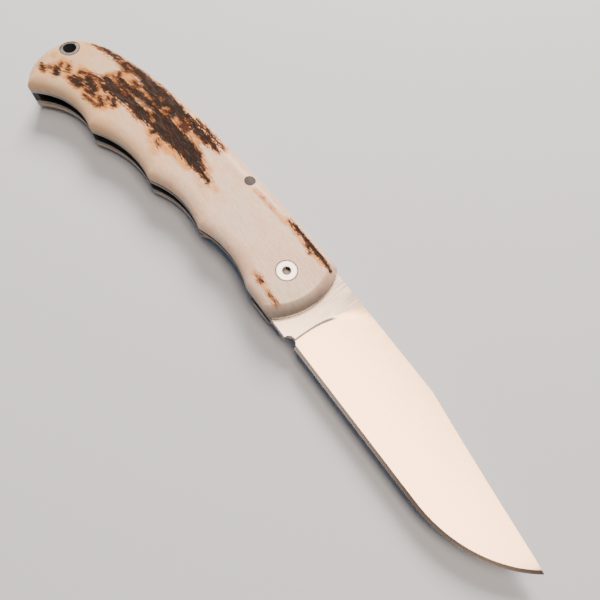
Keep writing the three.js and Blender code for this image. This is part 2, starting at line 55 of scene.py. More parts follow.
linerLow, linerHigh = boxOf("right_liner")
rightLow, rightHigh = boxOf("right_scale")
leftLow, leftHigh = boxOf("left_scale")
bladeLow, bladeHigh = boxOf("blade")
leftLinerLow, leftLinerHigh = boxOf("left_liner")
rounds = ("lanyard_tube", "spacer_pin", "pivot_screw", "pivot_barrel", "detent_ball", "stop_pin")
seats = {node: boxOf(node) for node in rounds}
rightPins = ("lanyard_tube", "spacer_pin", "pivot_screw")
leftPins = ("lanyard_tube", "spacer_pin", "pivot_barrel")


def seatOf(node, fit=0.05):
    # the round hole that a pin or screw asks for: its middle and its radius with a little clearance
    low, high = seats[node]
    return (low[0] + high[0]) / 2, (low[1] + high[1]) / 2, (high[0] - low[0]) / 2 + fit


def toLinear(hexColour):
    # sRGB hex to linear: the low end is a straight line, the rest a power of 2.4
    parts = np.array([int(hexColour[i : i + 2], 16) for i in (1, 3, 5)]) / 255
    linear = np.where(parts <= 0.04045, parts / 12.92, ((parts + 0.055) / 1.055) ** 2.4)
    return (*linear.tolist(), 1.0)


def addNode(tree, kind, inputs=None, output=0, **settings):
    # adds a node with its settings, sets or links its inputs and gives back one output
    node = tree.nodes.new("ShaderNode" + kind)
    for key, value in settings.items():
        setattr(node, key, value)
    for key, value in (inputs or {}).items():
        if isinstance(value, bpy.types.NodeSocket):
            tree.links.new(value, node.inputs[key])
        else:
            node.inputs[key].default_value = value
    return node.outputs[output]


# a Mix node takes its share in 0, two numbers in 2 and 3, or with this two colours in 6 and 7
colourMix = {"output": 2, "data_type": "RGBA"}


def partsOf(material):
    # the shader's inputs, and addNode bound to this material
    tree = material.node_tree
    return tree.nodes["Principled BSDF"].inputs, partial(addNode, tree)


def newMaterial(name):
    # an empty material with the same two beside it
    material = bpy.data.materials.new(name)
    material.use_nodes = True
    return material, *partsOf(material)


def linkTo(output, socket):
    # links a node's output to one of the shader's inputs
    output.id_data.links.new(output, socket)


def smoothStep(low, high, value):
    # 3s^2 - 2s^3 of the share s of the way from low to high
    share = np.clip((value - low) / (high - low), 0, 1)
    return share * share * (3 - 2 * share)


def bezier(a, b, c, d, count=60):
    # cubic Bezier: the four points weighted by (1-t)^3, 3t(1-t)^2, 3t^2(1-t) and t^3
    t = np.linspace(0, 1, count)[:, None]
    a, b, c, d = (np.array(p, float) for p in (a, b, c, d))
    return a * (1 - t) ** 3 + 3 * b * t * (1 - t) ** 2 + 3 * c * t**2 * (1 - t) + d * t**3


def easedJoin(lines, eases, count=9):
    # joins lines end to end; near each corner a quadratic Bezier takes the corner's place
    points = lines[0]
    for line, ease in zip(lines[1:], eases):
        corner = points[-1]
        before = points[np.linalg.norm(points - corner, axis=1) > ease]
        after = line[np.linalg.norm(line - corner, axis=1) > ease]
        start, end = (
            corner + (near - corner) * ease / np.linalg.norm(near - corner)
            for near in (before[-1], after[0])
        )
        t = np.linspace(0, 1, count)[:, None]
        curve = start * (1 - t) ** 2 + 2 * corner * t * (1 - t) + end * t**2
        points = np.vstack([before, curve, after])
    return points


def placesOf(mesh):
    # every point's x, y and z in metres, one row each
    place = np.empty(len(mesh.vertices) * 3)
    mesh.vertices.foreach_get("co", place)
    return place.reshape(-1, 3)


def storeMeasures(mesh, measures):
    # one number for each point, read by the materials as an attribute
    for name, value in measures.items():
        mesh.attributes.new(name, "FLOAT", "POINT").data.foreach_set("value", value)


def sectionSkin(name, points, material):
    # points[i, j] is point j of section i, in mm; sections are closed rings, the end ones capped
    rows, ring = points.shape[:2]
    index = np.arange(rows * ring).reshape(rows, ring)
    a, b = index[:-1], index[1:]
    quads = np.stack([a, np.roll(a, -1, 1), np.roll(b, -1, 1), b], -1).reshape(-1, 4)
    mesh = bpy.data.meshes.new(name)
    faces = quads.tolist() + [index[0][::-1].tolist(), index[-1].tolist()]
    mesh.from_pydata((points.reshape(-1, 3) * mm).tolist(), [], faces)
    piece = bpy.data.objects.new(name, mesh)
    bpy.context.scene.collection.objects.link(piece)
    mesh.materials.append(material)
    tidyMesh(mesh)
    return piece


def tidyMesh(mesh, weld=2e-6):
    # welds points that coincide, drops faces without area and turns all faces outwards
    work = bmesh.new()
    work.from_mesh(mesh)
    bmesh.ops.remove_doubles(work, verts=work.verts, dist=weld)
    bmesh.ops.dissolve_degenerate(work, edges=work.edges, dist=weld / 4)
    bmesh.ops.recalc_face_normals(work, faces=work.faces)
    work.to_mesh(mesh)
    work.free()


def shadeByAngle(piece, degrees):
    # smooth, with a crisp edge wherever two faces meet more sharply than this
    piece.data.shade_smooth()
    piece.data.set_sharp_from_angle(angle=math.radians(degrees))


def cutRods(piece, rods, bottom, top):
    # takes upright rods out of the piece, each given as (x, y, radius) in mm
    for x, y, radius in rods:
        bpy.ops.mesh.primitive_cylinder_add(
            vertices=96,
            radius=radius * mm,
            depth=(top - bottom) * mm,
            location=(x * mm, y * mm, (bottom + top) / 2 * mm),
        )
        cutWith(piece, bpy.context.object)


def cutWith(piece, cutter, keep="DIFFERENCE"):
    # takes the cutter out of the piece, or with INTERSECT keeps only what is inside it
    cut = piece.modifiers.new("cut", "BOOLEAN")
    cut.operation, cut.object, cut.solver = keep, cutter, "EXACT"
    graph = bpy.context.evaluated_depsgraph_get()
    made = bpy.data.meshes.new_from_object(piece.evaluated_get(graph))
    piece.modifiers.remove(cut)
    old, piece.data = piece.data, made
    made.name = old.name
    bpy.data.meshes.remove(old)
    bpy.data.objects.remove(cutter)


# the handle's outline in mm, the same curves as the CAD part's; a pull is how far a Bezier's inner
# point stands from its end
handleForm = {
    "noseRadius": 19.8,
    "noseRise": 0.7,  # the middle of the nose above the pivot
    "backHeight": 12.95,
    "bellyDepth": 11.4,
    "buttMiddle": 10.9,  # from the pivot down to the rearmost point
    "buttSetback": 9.7,
    "buttDrop": 28.3,
    "backBend": 0.42,  # share of the length behind the pivot where the back starts to curve down
    "backFall": 2,  # how far it has come down there
    "buttPull": (0, 17.4),
    "bendPull": (5, 0.25),
    "backPull": (15, 0.77),
    "flatPull": (32, 0.15),
    "flatBack": 2,  # from here to the nose the back is level
    "endPull": (0, 5.6),
    "cornerPull": (0.7, 5.2),
    "firstRidge": 3.5,
    "grooveDepths": [2.35, 2.5, 2.75, 4],
    "ridgePlaces": [0, 0.243, 0.477, 0.746, 1],  # shares along the grip, from belly to butt
    "ridgeDrops": [0, 0.038, 0.213, 0.527, 1],  # shares down it
    "ridgeEase": 0.6,
    "noseEase": 0.8,
}


def noseArc(side, fromX, count=40):
    # the front end is part of a circle; its points crowd together towards the tip
    reach, radius = linerHigh[0], handleForm["noseRadius"]
    x = fromX + (reach - fromX) * np.sin(np.linspace(0, math.pi / 2, count)[1:])
    rise = np.sqrt(np.maximum(0, radius**2 - (x - reach + radius) ** 2))
    return np.column_stack([x, handleForm["noseRise"] + side * rise])


def grooveArc(start, end, depth, count=40):
    # circle through both ridges, bulging into the handle by depth
    chord = np.linalg.norm(end - start)
    radius = (chord**2 / 4 + depth**2) / (2 * depth)
    along = (end - start) / chord
    up = np.array([-along[1], along[0]])
    reach = np.linspace(-chord / 2, chord / 2, count)[:, None]
    rise = np.sqrt(radius**2 - reach**2) - (radius - depth)
    return (start + end) / 2 + along * reach + up * rise


def handleEdges():
    # upper edge: two Beziers, a level line, the nose; lower edge: the butt's Bezier, four grooves,
    # a level line, the nose
    form = handleForm
    rear, front = linerLow[0], linerHigh[0]
    belly, backHeight = -form["bellyDepth"], form["backHeight"]
    centre, rise = front - form["noseRadius"], form["noseRise"]
    topX, lowX = (
        centre + math.sqrt(form["noseRadius"] ** 2 - (y - rise) ** 2) for y in (backHeight, belly)
    )
    noseFrom = max(topX, lowX)
    end = np.array([rear, -form["buttMiddle"]])
    corner = np.array([rear + form["buttSetback"], -form["buttDrop"]])
    bend = np.array([form["backBend"] * rear, backHeight - form["backFall"]])
    level = np.array([form["flatBack"], backHeight])
    flatPull = [bend[0] + form["flatPull"][0], backHeight - form["flatPull"][1]]
    curve = bezier(end, end + form["buttPull"], bend - form["bendPull"], bend, 120)
    flatter = bezier(bend, bend + form["backPull"], flatPull, level)
    back = np.vstack([curve, flatter[1:], [[topX, backHeight]]])
    grip = corner[0] + form["firstRidge"]
    drop = form["buttDrop"] - form["bellyDepth"]
    ridges = [
        np.array([-form["firstRidge"] + place * grip, belly - fall * drop])
        for place, fall in zip(form["ridgePlaces"], form["ridgeDrops"])
    ]
    depths = form["grooveDepths"]
    grooves = [grooveArc(ridges[i + 1], ridges[i], depths[i]) for i in reversed(range(4))]
    cornerPull = [end[0] + form["cornerPull"][0], corner[1] + form["cornerPull"][1]]
    butt = bezier(end, end - form["endPull"], cornerPull, corner)
    flat = np.array([ridges[0], [lowX, belly]])
    lines = [butt, *grooves, flat, noseArc(-1, noseFrom)]
    eases = [form["ridgeEase"]] * 5 + [form["noseEase"]]
    upper = easedJoin([back, noseArc(1, noseFrom)], [form["noseEase"]])
    return upper, easedJoin(lines, eases)


upperEdge, lowerEdge = handleEdges()


def edgesAt(x):
    # the height of the lower and of the upper edge at x
    return (np.interp(x, *edge.T) for edge in (lowerEdge, upperEdge))


def distanceTo(line, x, y):
    # least distance from each point to the segments of a line, worked out row by row
    a, b = line[:-1], line[1:]
    d = b - a
    lengthSquared = (d**2).sum(1)
    out = np.empty(x.shape)
    for i in range(len(x)):
        px, py = x[i][:, None] - a[:, 0], y[i][:, None] - a[:, 1]
        t = np.clip((px * d[:, 0] + py * d[:, 1]) / lengthSquared, 0, 1)
        out[i] = np.hypot(px - t * d[:, 0], py - t * d[:, 1]).min(1)
    return out


# scales, in mm
scaleForm = {
    "edge": 0.8,  # upright wall beside the liner
    "rimRound": 4.5,
    "rimEnd": 3.7,  # the rounded rim gives way to the nose this far from the front end
    "noseRound": 2.8,
    "nosePower": 1.15,  # 2 rounds the front end evenly, 1 bevels it
    "hollow": 0.22,  # how deep the bark lies
    "hollowEase": (-1.2, 1.4),  # from outside a stroke's edge to inside it
    "pinFit": 0.12,
    "wave": 0.05,  # unevenness left by hand grinding
    "paintedNoseShade": 0.75,  # how strongly grey-brown shade is painted over the nose's rounded front end
    "paintedNoseShadeReach": 3.1,  # how far in from its edge
    "paintedNoseShadeLoss": 0.45,  # how much less it does towards the back
    "paintedNoseShadeFade": (3, 9),  # between these heights
    "grainStart": -56,  # behind here the grain bends down, with the square of the distance
    "grainBend": 0.0058,
    "stations": 400,
    "across": 84,
}

# bark left on the antler, each stroke with x and y of both ends and the half width at each, in mm;
# a seventh number makes its outline that many times cleaner
rightDark = [
    (-98.5, -2.3, -95.5, -0.9, 0.05, 0.3), (-96, -0.8, -90, 1, 0.25, 0.3),
    (-96, -1.2, -91, -0.3, 0.3, 0.35), (-91, -0.2, -84.5, -0.1, 0.35, 0.3),
    (-88.5, 1.5, -84, 2.7, 0.3, 0.7), (-84, 2.7, -79, 2.7, 0.8, 1.3), (-79, 2.7, -75, 3.2, 1.4, 2),
    (-75, 3.2, -70, 4.4, 2, 1.7), (-76, 1.2, -67, 1.6, 0.6, 1.2), (-70, 4.45, -63, 5.2, 1.55, 1.15),
    (-68, 3, -67, 1, 1, 1), (-63.5, 3.6, -62, 2, 0.9, 0.8), (-63, 5.1, -56, 5.6, 1.2, 1),
    (-56, 5.6, -50, 6, 1.05, 0.95), (-50, 6.1, -45.6, 6.5, 0.95, 0.6),
    (-57, 7.7, -52, 8.15, 0, 0.15), (-52, 8.15, -44, 8.5, 0.15, 0),
    (-83.5, -3.7, -79, -3.3, 0.45, 0.75), (-79, -3.2, -74.5, -1.7, 0.8, 1.3),
    (-74.5, -1.7, -69, -1.2, 1.2, 0.9), (-86, -7, -80, -7, 0.8, 1.3),
    (-80, -7, -75.5, -6.7, 1.3, 1.1), (-75, -5.6, -69, -5.1, 1.2, 1.6),
    (-69, -5, -64, -3.6, 1.6, 1.9), (-69, -0.6, -64, -1, 0.5, 1.2),
    (-64, -2.4, -57, -1.7, 2.8, 2.9), (-57, -1.6, -50, -0.8, 2.9, 2.6),
    (-50, -0.8, -46.5, -0.7, 2.5, 2.5), (-46.5, -1.2, -43, -1.6, 2, 1.1),
    (-43, -1.8, -40, -1.9, 0.9, 0.35), (-40, -1.9, -36.2, -2, 0.3, 0.1),
    (-60.4, -5.4, -60.2, -6.2, 0.6, 0.25), (-85.6, -9.5, -82, -9.3, 0.4, 0.5),
    (-88.6, -12.2, -84, -12.1, 0.7, 0.7), (-91.8, -15.5, -88.2, -15.4, 0.6, 0.7),
    (-90.6, -14.2, -89.5, -13.3, 0.4, 0.3), (-84, -13.8, -82.4, -13.7, 0.45, 0.5),
    (-77.4, -9.4, -75.6, -10.2, 0.35, 0.3), (-80.6, -12.7, -78.2, -13, 0.25, 0.45),
    (-97.8, -18.1, -96.6, -18.4, 0.45, 0.8), (-101, -20.8, -100.2, -21.1, 0.3, 0.35),
    (-11, 10.55, -6, 10.4, 0.3, 0.45, 2.4), (-6, 10.4, 1, 10.35, 0.45, 0.6, 2.4),
    (1, 10.35, 6.9, 10.15, 0.6, 0.35, 2.4), (-2.8, 9.5, -0.6, 8.6, 0.2, 0.25, 2),
]
# places where the polish has cut into the bark: brown, not black
rightBrown = [
    (-100.6, -3.4, -98, -2, 0.1, 0.25), (-98, -2, -95, -0.8, 0.5, 0.6),
    (-88, 0.6, -82, 1.2, 0.5, 0.4), (-84.5, 1.9, -80, 3.6, 0.9, 0.9),
    (-80.2, -0.5, -77.6, -0.3, 0.5, 0.7), (-73.5, 1.2, -71, 1, 0.6, 0.5),
    (-67, 3.4, -62, 4, 0.8, 0.8), (-65.5, 2.2, -62.5, 1.6, 1.4, 1.1), (-60.5, 4.2, -55, 3, 1, 1),
    (-57.5, 2.6, -54.8, 3, 0.8, 0.8), (-54, 4.6, -48, 5.2, 0.6, 0.6), (-57, 7.7, -43, 8.55, 0.1, 0),
    (-45.6, 6.7, -43, 6.6, 0.4, 0.1), (-45.6, 0.2, -40, -0.6, 0.7, 0.3),
    (-41, -1.4, -36, -1.9, 0.7, 0.1), (-85.4, -2.6, -83.5, -4.6, 0.5, 0.6),
    (-85.5, -4.8, -79, -5, 0.4, 0.5), (-79, -5, -75, -4.4, 0.5, 0.5),
    (-84, -8.6, -78, -8.5, 0.6, 0.4), (-92.4, -12.1, -89.6, -10.2, 0.45, 0.45),
    (-89.6, -10.2, -86, -8.3, 0.4, 0.45), (-89, -10.9, -87, -10.6, 0.4, 0.4),
    (-89.5, -11.6, -84, -12.2, 0.8, 0.9), (-92.6, -16, -88, -14.8, 0.4, 0.8),
    (-90.8, -14.2, -88.6, -12.6, 0.5, 0.5), (-87.4, -13.6, -84.6, -14, 0.35, 0.5),
    (-83.6, -15.6, -81.5, -15.2, 0.4, 0.3), (-81.8, -15.2, -78.4, -14.7, 0.3, 0.35),
    (-78.2, -14.4, -77.6, -12.8, 0.4, 0.3), (-80.6, -12.7, -78.2, -13, 0.35, 0.5),
    (-79.2, -10.3, -78.2, -10.6, 0.35, 0.35), (-77.9, -8.8, -75.4, -10.2, 0.35, 0.5),
    (-97.2, -13.8, -94.8, -15.2, 0.4, 0.5), (-98.6, -15.6, -97.6, -17, 0.3, 0.4),
    (-98.4, -17.8, -95.8, -18.6, 0.4, 0.8), (-102.2, -20.6, -99, -21.4, 0.2, 0.2),
    (-99.8, -19.2, -98.8, -18.9, 0.2, 0.2), (-3.6, -7.5, -2.2, -7.6, -0.3, 0),
    (-2.2, -7.6, -1.2, -7.5, 0.3, 0.15), (1.8, -7.8, 4, -8, -0.35, -0.1),
    (4, -8, 6, -8.1, -0.1, -0.25), (-12.2, 10, -7, 10.15, 0.1, 0.25),
    (-3.4, 9.7, -0.4, 8.7, 0, 0.1), (-23.5, 8.2, -18, 8.7, -0.5, -0.6),
    (-68.8, -7, -67.2, -6.6, 0.2, 0.3), (-57, -6.6, -55.2, -6.8, 0.15, 0.2),
]
# pale flecks inside the bark
rightPale = [
    (-73.4, -2.8, -70.8, -2.7, 0.22, 0.3), (-69.6, -2.3, -66.2, -2.6, 0.2, 0.28),
    (-65.4, -3.6, -63.6, -3.4, 0.15, 0.2), (-82.6, 0.5, -80.2, 0.6, 0.3, 0.2),
    (-82, -1, -80.8, -1.2, 0.3, 0.1), (-77.2, -0.5, -75.8, -0.8, 0, 0),
    (-74.3, 0.1, -71.4, 0.3, 0.1, 0.05), (-70.2, 3, -68.6, 3.1, 0, 0.05),
    (-66, 1.6, -65, 2.6, 0.45, 0.3), (-65, 0.6, -63.6, 0.9, 0.2, 0.1),
    (-61.4, 2.4, -58.8, 2.7, 0.15, 0.15), (-59.2, 4.6, -57.2, 4.8, -0.1, -0.05),
    (-54, 3, -49.5, 3.4, 0.6, 1), (-80.6, -13.9, -79.4, -13.8, 0.45, 0.4),
    (-84.5, -5, -83, -5.2, 0.3, 0.3),
]
# tan washes: half width, fade and strength follow the two ends
rightTan = [
    (-103.3, -15.6, -102.8, -15.9, 0.4, 1.4, 0.55), (-99.4, -14.8, -95, -15, 0.7, 1.8, 0.75),
    (-99.5, -17.5, -98, -19.5, 0.5, 1.6, 0.7), (-102, -21, -98.5, -21.2, 0.2, 1.5, 0.6),
    (-94.5, -11.4, -92, -11.8, 0.4, 1.4, 0.55), (-92.5, -12, -86, -9.6, 1.2, 1.4, 0.85),
    (-93, -16.4, -84, -14.2, 0.9, 1.5, 0.8), (-84, -14.6, -77, -13.2, 1.2, 1.4, 0.85),
    (-84, -10.8, -75.5, -10.4, 0.9, 1.6, 0.75), (-86.6, -6, -84.6, -1.8, 0.5, 1.6, 0.95),
    (-85, -1, -77, -1.4, 0.9, 1.2, 0.85), (-85, -4.6, -76, -5, 0.8, 0.8, 1),
    (-102, -4.8, -96, -1.6, 0.25, 1.2, 0.6), (-91, 0.5, -83, 0.9, 0.5, 0.9, 0.8),
    (-74.5, 0.4, -62, 2, 0.9, 1.4, 0.85), (-61.5, 2.6, -50, 3.6, 0.9, 1.2, 0.9),
    (-50, 4.2, -43.5, 6.4, 0.5, 1.3, 0.65), (-58, 7.6, -42, 8.4, 0.3, 0.9, 0.75),
    (-46, 1.2, -39, 0.2, 0.6, 1.3, 0.65), (-40, -1, -32.5, -1.8, 0.5, 1.4, 0.45),
    (-72, -7.2, -66, -6.6, 0.4, 1.2, 0.6), (-61, -6, -52, -5, 1, 1.8, 1),
    (-58, -7.6, -54, -9, 0.4, 2.2, 0.6), (-52, -4.4, -44, -3.8, 0.9, 1.4, 0.95),
    (-41, -3.2, -36, -4.2, 0.3, 1.6, 0.4), (-34, -5.2, -31, -5.4, 0.1, 0.8, 0.3),
    (-13, 9.5, -5, 9.3, 0.4, 1.1, 0.85), (-5.5, 9.3, 4, 9.6, 0.5, 1.1, 0.8),
    (-26, 8, -12, 8.8, 0.35, 1.1, 0.7), (-4.6, -7.5, 0, -7.5, 0.35, 1.2, 0.6),
    (1, -7.9, 6.4, -8.1, 0.25, 1.1, 0.6),
]
leftDark = [
    (-98, -6, -90, -4, 0.1, 0.8), (-90, -4, -80, -1.8, 0.9, 1.9), (-80, -1.6, -66, 0.8, 2, 2.4),
    (-66, 0.8, -52, 2.2, 2.3, 1.5), (-52, 2.3, -40, 3.4, 1.3, 0.15), (-86, 1.6, -72, 4.2, 0.3, 0.9),
    (-72, 4.6, -58, 6.6, 0.9, 0.3), (-88, -13, -82, -11.4, 0.3, 0.8),
    (-80, -10.8, -76, -10.4, 0.6, 0.4), (-72, -7.2, -60, -5.6, 0.2, 0.7),
    (-14, 9.6, -4, 9.9, 0.4, 0.15),
]
leftBrown = [
    (-99, -6.4, -88, -3.8, 0.3, 0.9), (-90, -13.8, -76, -10.4, 0.4, 0.9),
    (-74, -7.6, -56, -5.2, 0.3, 0.6), (-48, 1.4, -36, 3.2, 0.7, 0.1),
    (-30, 8.4, -18, 9.2, 0.15, 0.3),
]
leftPale = [
    (-76, -0.6, -72, 0.2, 0.3, 0.4), (-62, 1.8, -58, 2.2, 0.3, 0.3),
]
leftTan = [
    (-102, -14, -94, -10, 0.5, 1.8, 0.5), (-92, -9, -78, -6.5, 0.8, 2, 0.7),
    (-78, -5, -56, -3, 0.9, 1.8, 0.7), (-60, -8.5, -46, -6.5, 0.4, 1.6, 0.5),
    (-84, 3.4, -56, 5.2, 0.8, 1.2, 0.7), (-44, 3.2, -30, 4.2, 0.5, 1.5, 0.5),
    (-16, 9.4, -2, 9.8, 0.4, 1, 0.5),
]


def strokeDepth(strokes, x, y):
    # how deep a point lies in the strokes, in mm: their half width less its distance from them
    deepest = np.full(x.shape, -9.0)  # far outside them all
    for x0, y0, x1, y1, w0, w1, *clean in strokes:
        dx, dy = x1 - x0, y1 - y0
        t = np.clip(((x - x0) * dx + (y - y0) * dy) / (dx * dx + dy * dy), 0, 1)
        away = np.hypot(x - x0 - t * dx, y - y0 - t * dy)
        deepest = np.maximum(deepest, (w0 + t * (w1 - w0) - away) * (clean[0] if clean else 1))
    return deepest


def washAmount(strokes, x, y):
    # each wash is full inside its half width and fades to nothing over its own distance
    amount = np.zeros(x.shape)
    for x0, y0, x1, y1, width, fade, strength in strokes:
        depth = strokeDepth([(x0, y0, x1, y1, width, width)], x, y)
        amount = np.maximum(amount, strength * smoothStep(-fade, 0, depth))
    return amount


def noseDepth(x, y):
    # how far a point lies inside the arc of the front end, in mm
    centre = linerHigh[0] - handleForm["noseRadius"]
    depth = handleForm["noseRadius"] - np.hypot(x - centre, y - handleForm["noseRise"])
    return np.where(x > centre, depth, 99)  # nowhere near it


def scaleHeight(x, y, dark):
    # a quarter of an ellipse from the wall up to the flat middle; over the nose a blunter curve,
    # (1 - t^p)^(1/p); a slow wave and the bark's hollow are taken off the top
    form = scaleForm
    rimX = linerHigh[0] - form["rimEnd"]
    rim = np.minimum(
        distanceTo(lowerEdge[lowerEdge[:, 0] < rimX], x, y),
        distanceTo(upperEdge[upperEdge[:, 0] < rimX], x, y),
    )
    nose = noseDepth(x, y)
    rimLeft = 1 - np.clip(rim / form["rimRound"], 0, 1)
    noseLeft = 1 - np.clip(nose / form["noseRound"], 0, 1)
    power = form["nosePower"]
    rounding = np.sqrt(1 - rimLeft**2) * (1 - noseLeft**power) ** (1 / power)
    inside = smoothStep(0, form["rimRound"], np.minimum(rim, nose))
    # two waves, 38 and 18 mm long along the handle, that add up to between 0 and 1
    wave = 0.5 + 0.3 * np.sin(x / 6.1 + 0.35 * y) + 0.2 * np.sin(x / 2.9 - y / 3.3)
    hollow = form["hollow"] * smoothStep(*form["hollowEase"], strokeDepth(dark, x, y))
    rise = rightHigh[2] - rightLow[2] - form["edge"]
    return form["edge"] + rise * rounding - inside * (form["wave"] * wave + hollow)


def makeScale(name, foot, face, marks, pins, cutter):
    # foot and face are the levels of its flat and its rounded side; each section spans the outline
    # at one x, with the scale's height on one side and the foot on the other
    form = scaleForm
    rear, front = linerLow[0], linerHigh[0]
    share = np.linspace(0, 1, form["stations"])
    # stations crowd together at both ends, where the outline turns square to the handle
    x = rear + (front - rear) * (share - 0.9 * np.sin(2 * math.pi * share) / (2 * math.pi))
    x = np.unique(np.concatenate([x, lowerEdge[:, 0][::3]]))
    low, high = edgesAt(x)
    for end in (0, -1):
        high[end] = low[end] = (high[end] + low[end]) / 2
    across = (1 - np.cos(np.linspace(0, math.pi, form["across"]))) / 2
    gridX = np.repeat(x[:, None], form["across"], 1)
    gridY = low[:, None] + (high - low)[:, None] * across
    height = scaleHeight(gridX, gridY, marks["dark"])
    outer = np.stack([gridX, gridY, foot + np.sign(face - foot) * height], -1)
    inner = np.stack([gridX, gridY, np.full(gridX.shape, foot)], -1)[:, ::-1]
    piece = sectionSkin(name, np.concatenate([outer, inner[:, ::3], inner[:, -1:]], 1), antler)
    bottom, top = sorted((foot, face))
    cutRods(piece, [seatOf(node, form["pinFit"]) for node in pins], bottom - 1, top + 1)
    cutWith(piece, cutter)
    # the marks are worked out last, because a cut makes new points without them
    addMarks(piece.data, marks)
    shadeByAngle(piece, 40)
    return piece


def addMarks(mesh, marks):
    # each point's depth in the strokes, share of wash and of painted shade on the nose, and place
    # in the grain, which bends down towards the butt with the antler's own axis
    form = scaleForm
    x, y = placesOf(mesh)[:, :2].T / mm
    measures = {name: strokeDepth(marks[name], x, y) for name in ("dark", "brown", "pale")}
    measures["wash"] = washAmount(marks["wash"], x, y)
    # painted shade over the nose's rounding, strongest at its edge and on its lower side
    nose = smoothStep(form["paintedNoseShadeReach"], 0, noseDepth(x, y))
    loss = form["paintedNoseShadeLoss"] * smoothStep(*form["paintedNoseShadeFade"], y)
    measures["paintedNoseShade"] = nose * (form["paintedNoseShade"] - loss)
    measures["grainAlong"] = x
    measures["grainAcross"] = y + form["grainBend"] * np.minimum(x - form["grainStart"], 0) ** 2
    storeMeasures(mesh, measures)


def awayFrom(add, x=0, y=0, scale=1):
    # each point's distance from the upright line through x and y in mm, times the scale
    place = add("TexCoord", output="Object")
    place = add("VectorMath", {0: place, 1: (x * mm, y * mm, 0)}, operation="SUBTRACT")
    place = add("VectorMath", {0: place, 1: (scale, scale, 0)}, operation="MULTIPLY")
    return add("VectorMath", {0: place}, output="Value", operation="LENGTH")


def pinGapShadeShare(add, pins, full=0.16, gone=0.36, most=0.85):
    # painted shade of the gap round each pin, full and gone at these distances from it, in mm
    share = 0.0
    for pin in pins:
        x, y, radius = seatOf(pin, 0)
        ends = {"From Min": (radius + full) * mm, "From Max": (radius + gone) * mm}
        near = {"Value": awayFrom(add, x, y), **ends, "To Min": most, "To Max": 0}
        share = add("Math", {0: share, 1: add("MapRange", near)}, operation="MAXIMUM")
    return share


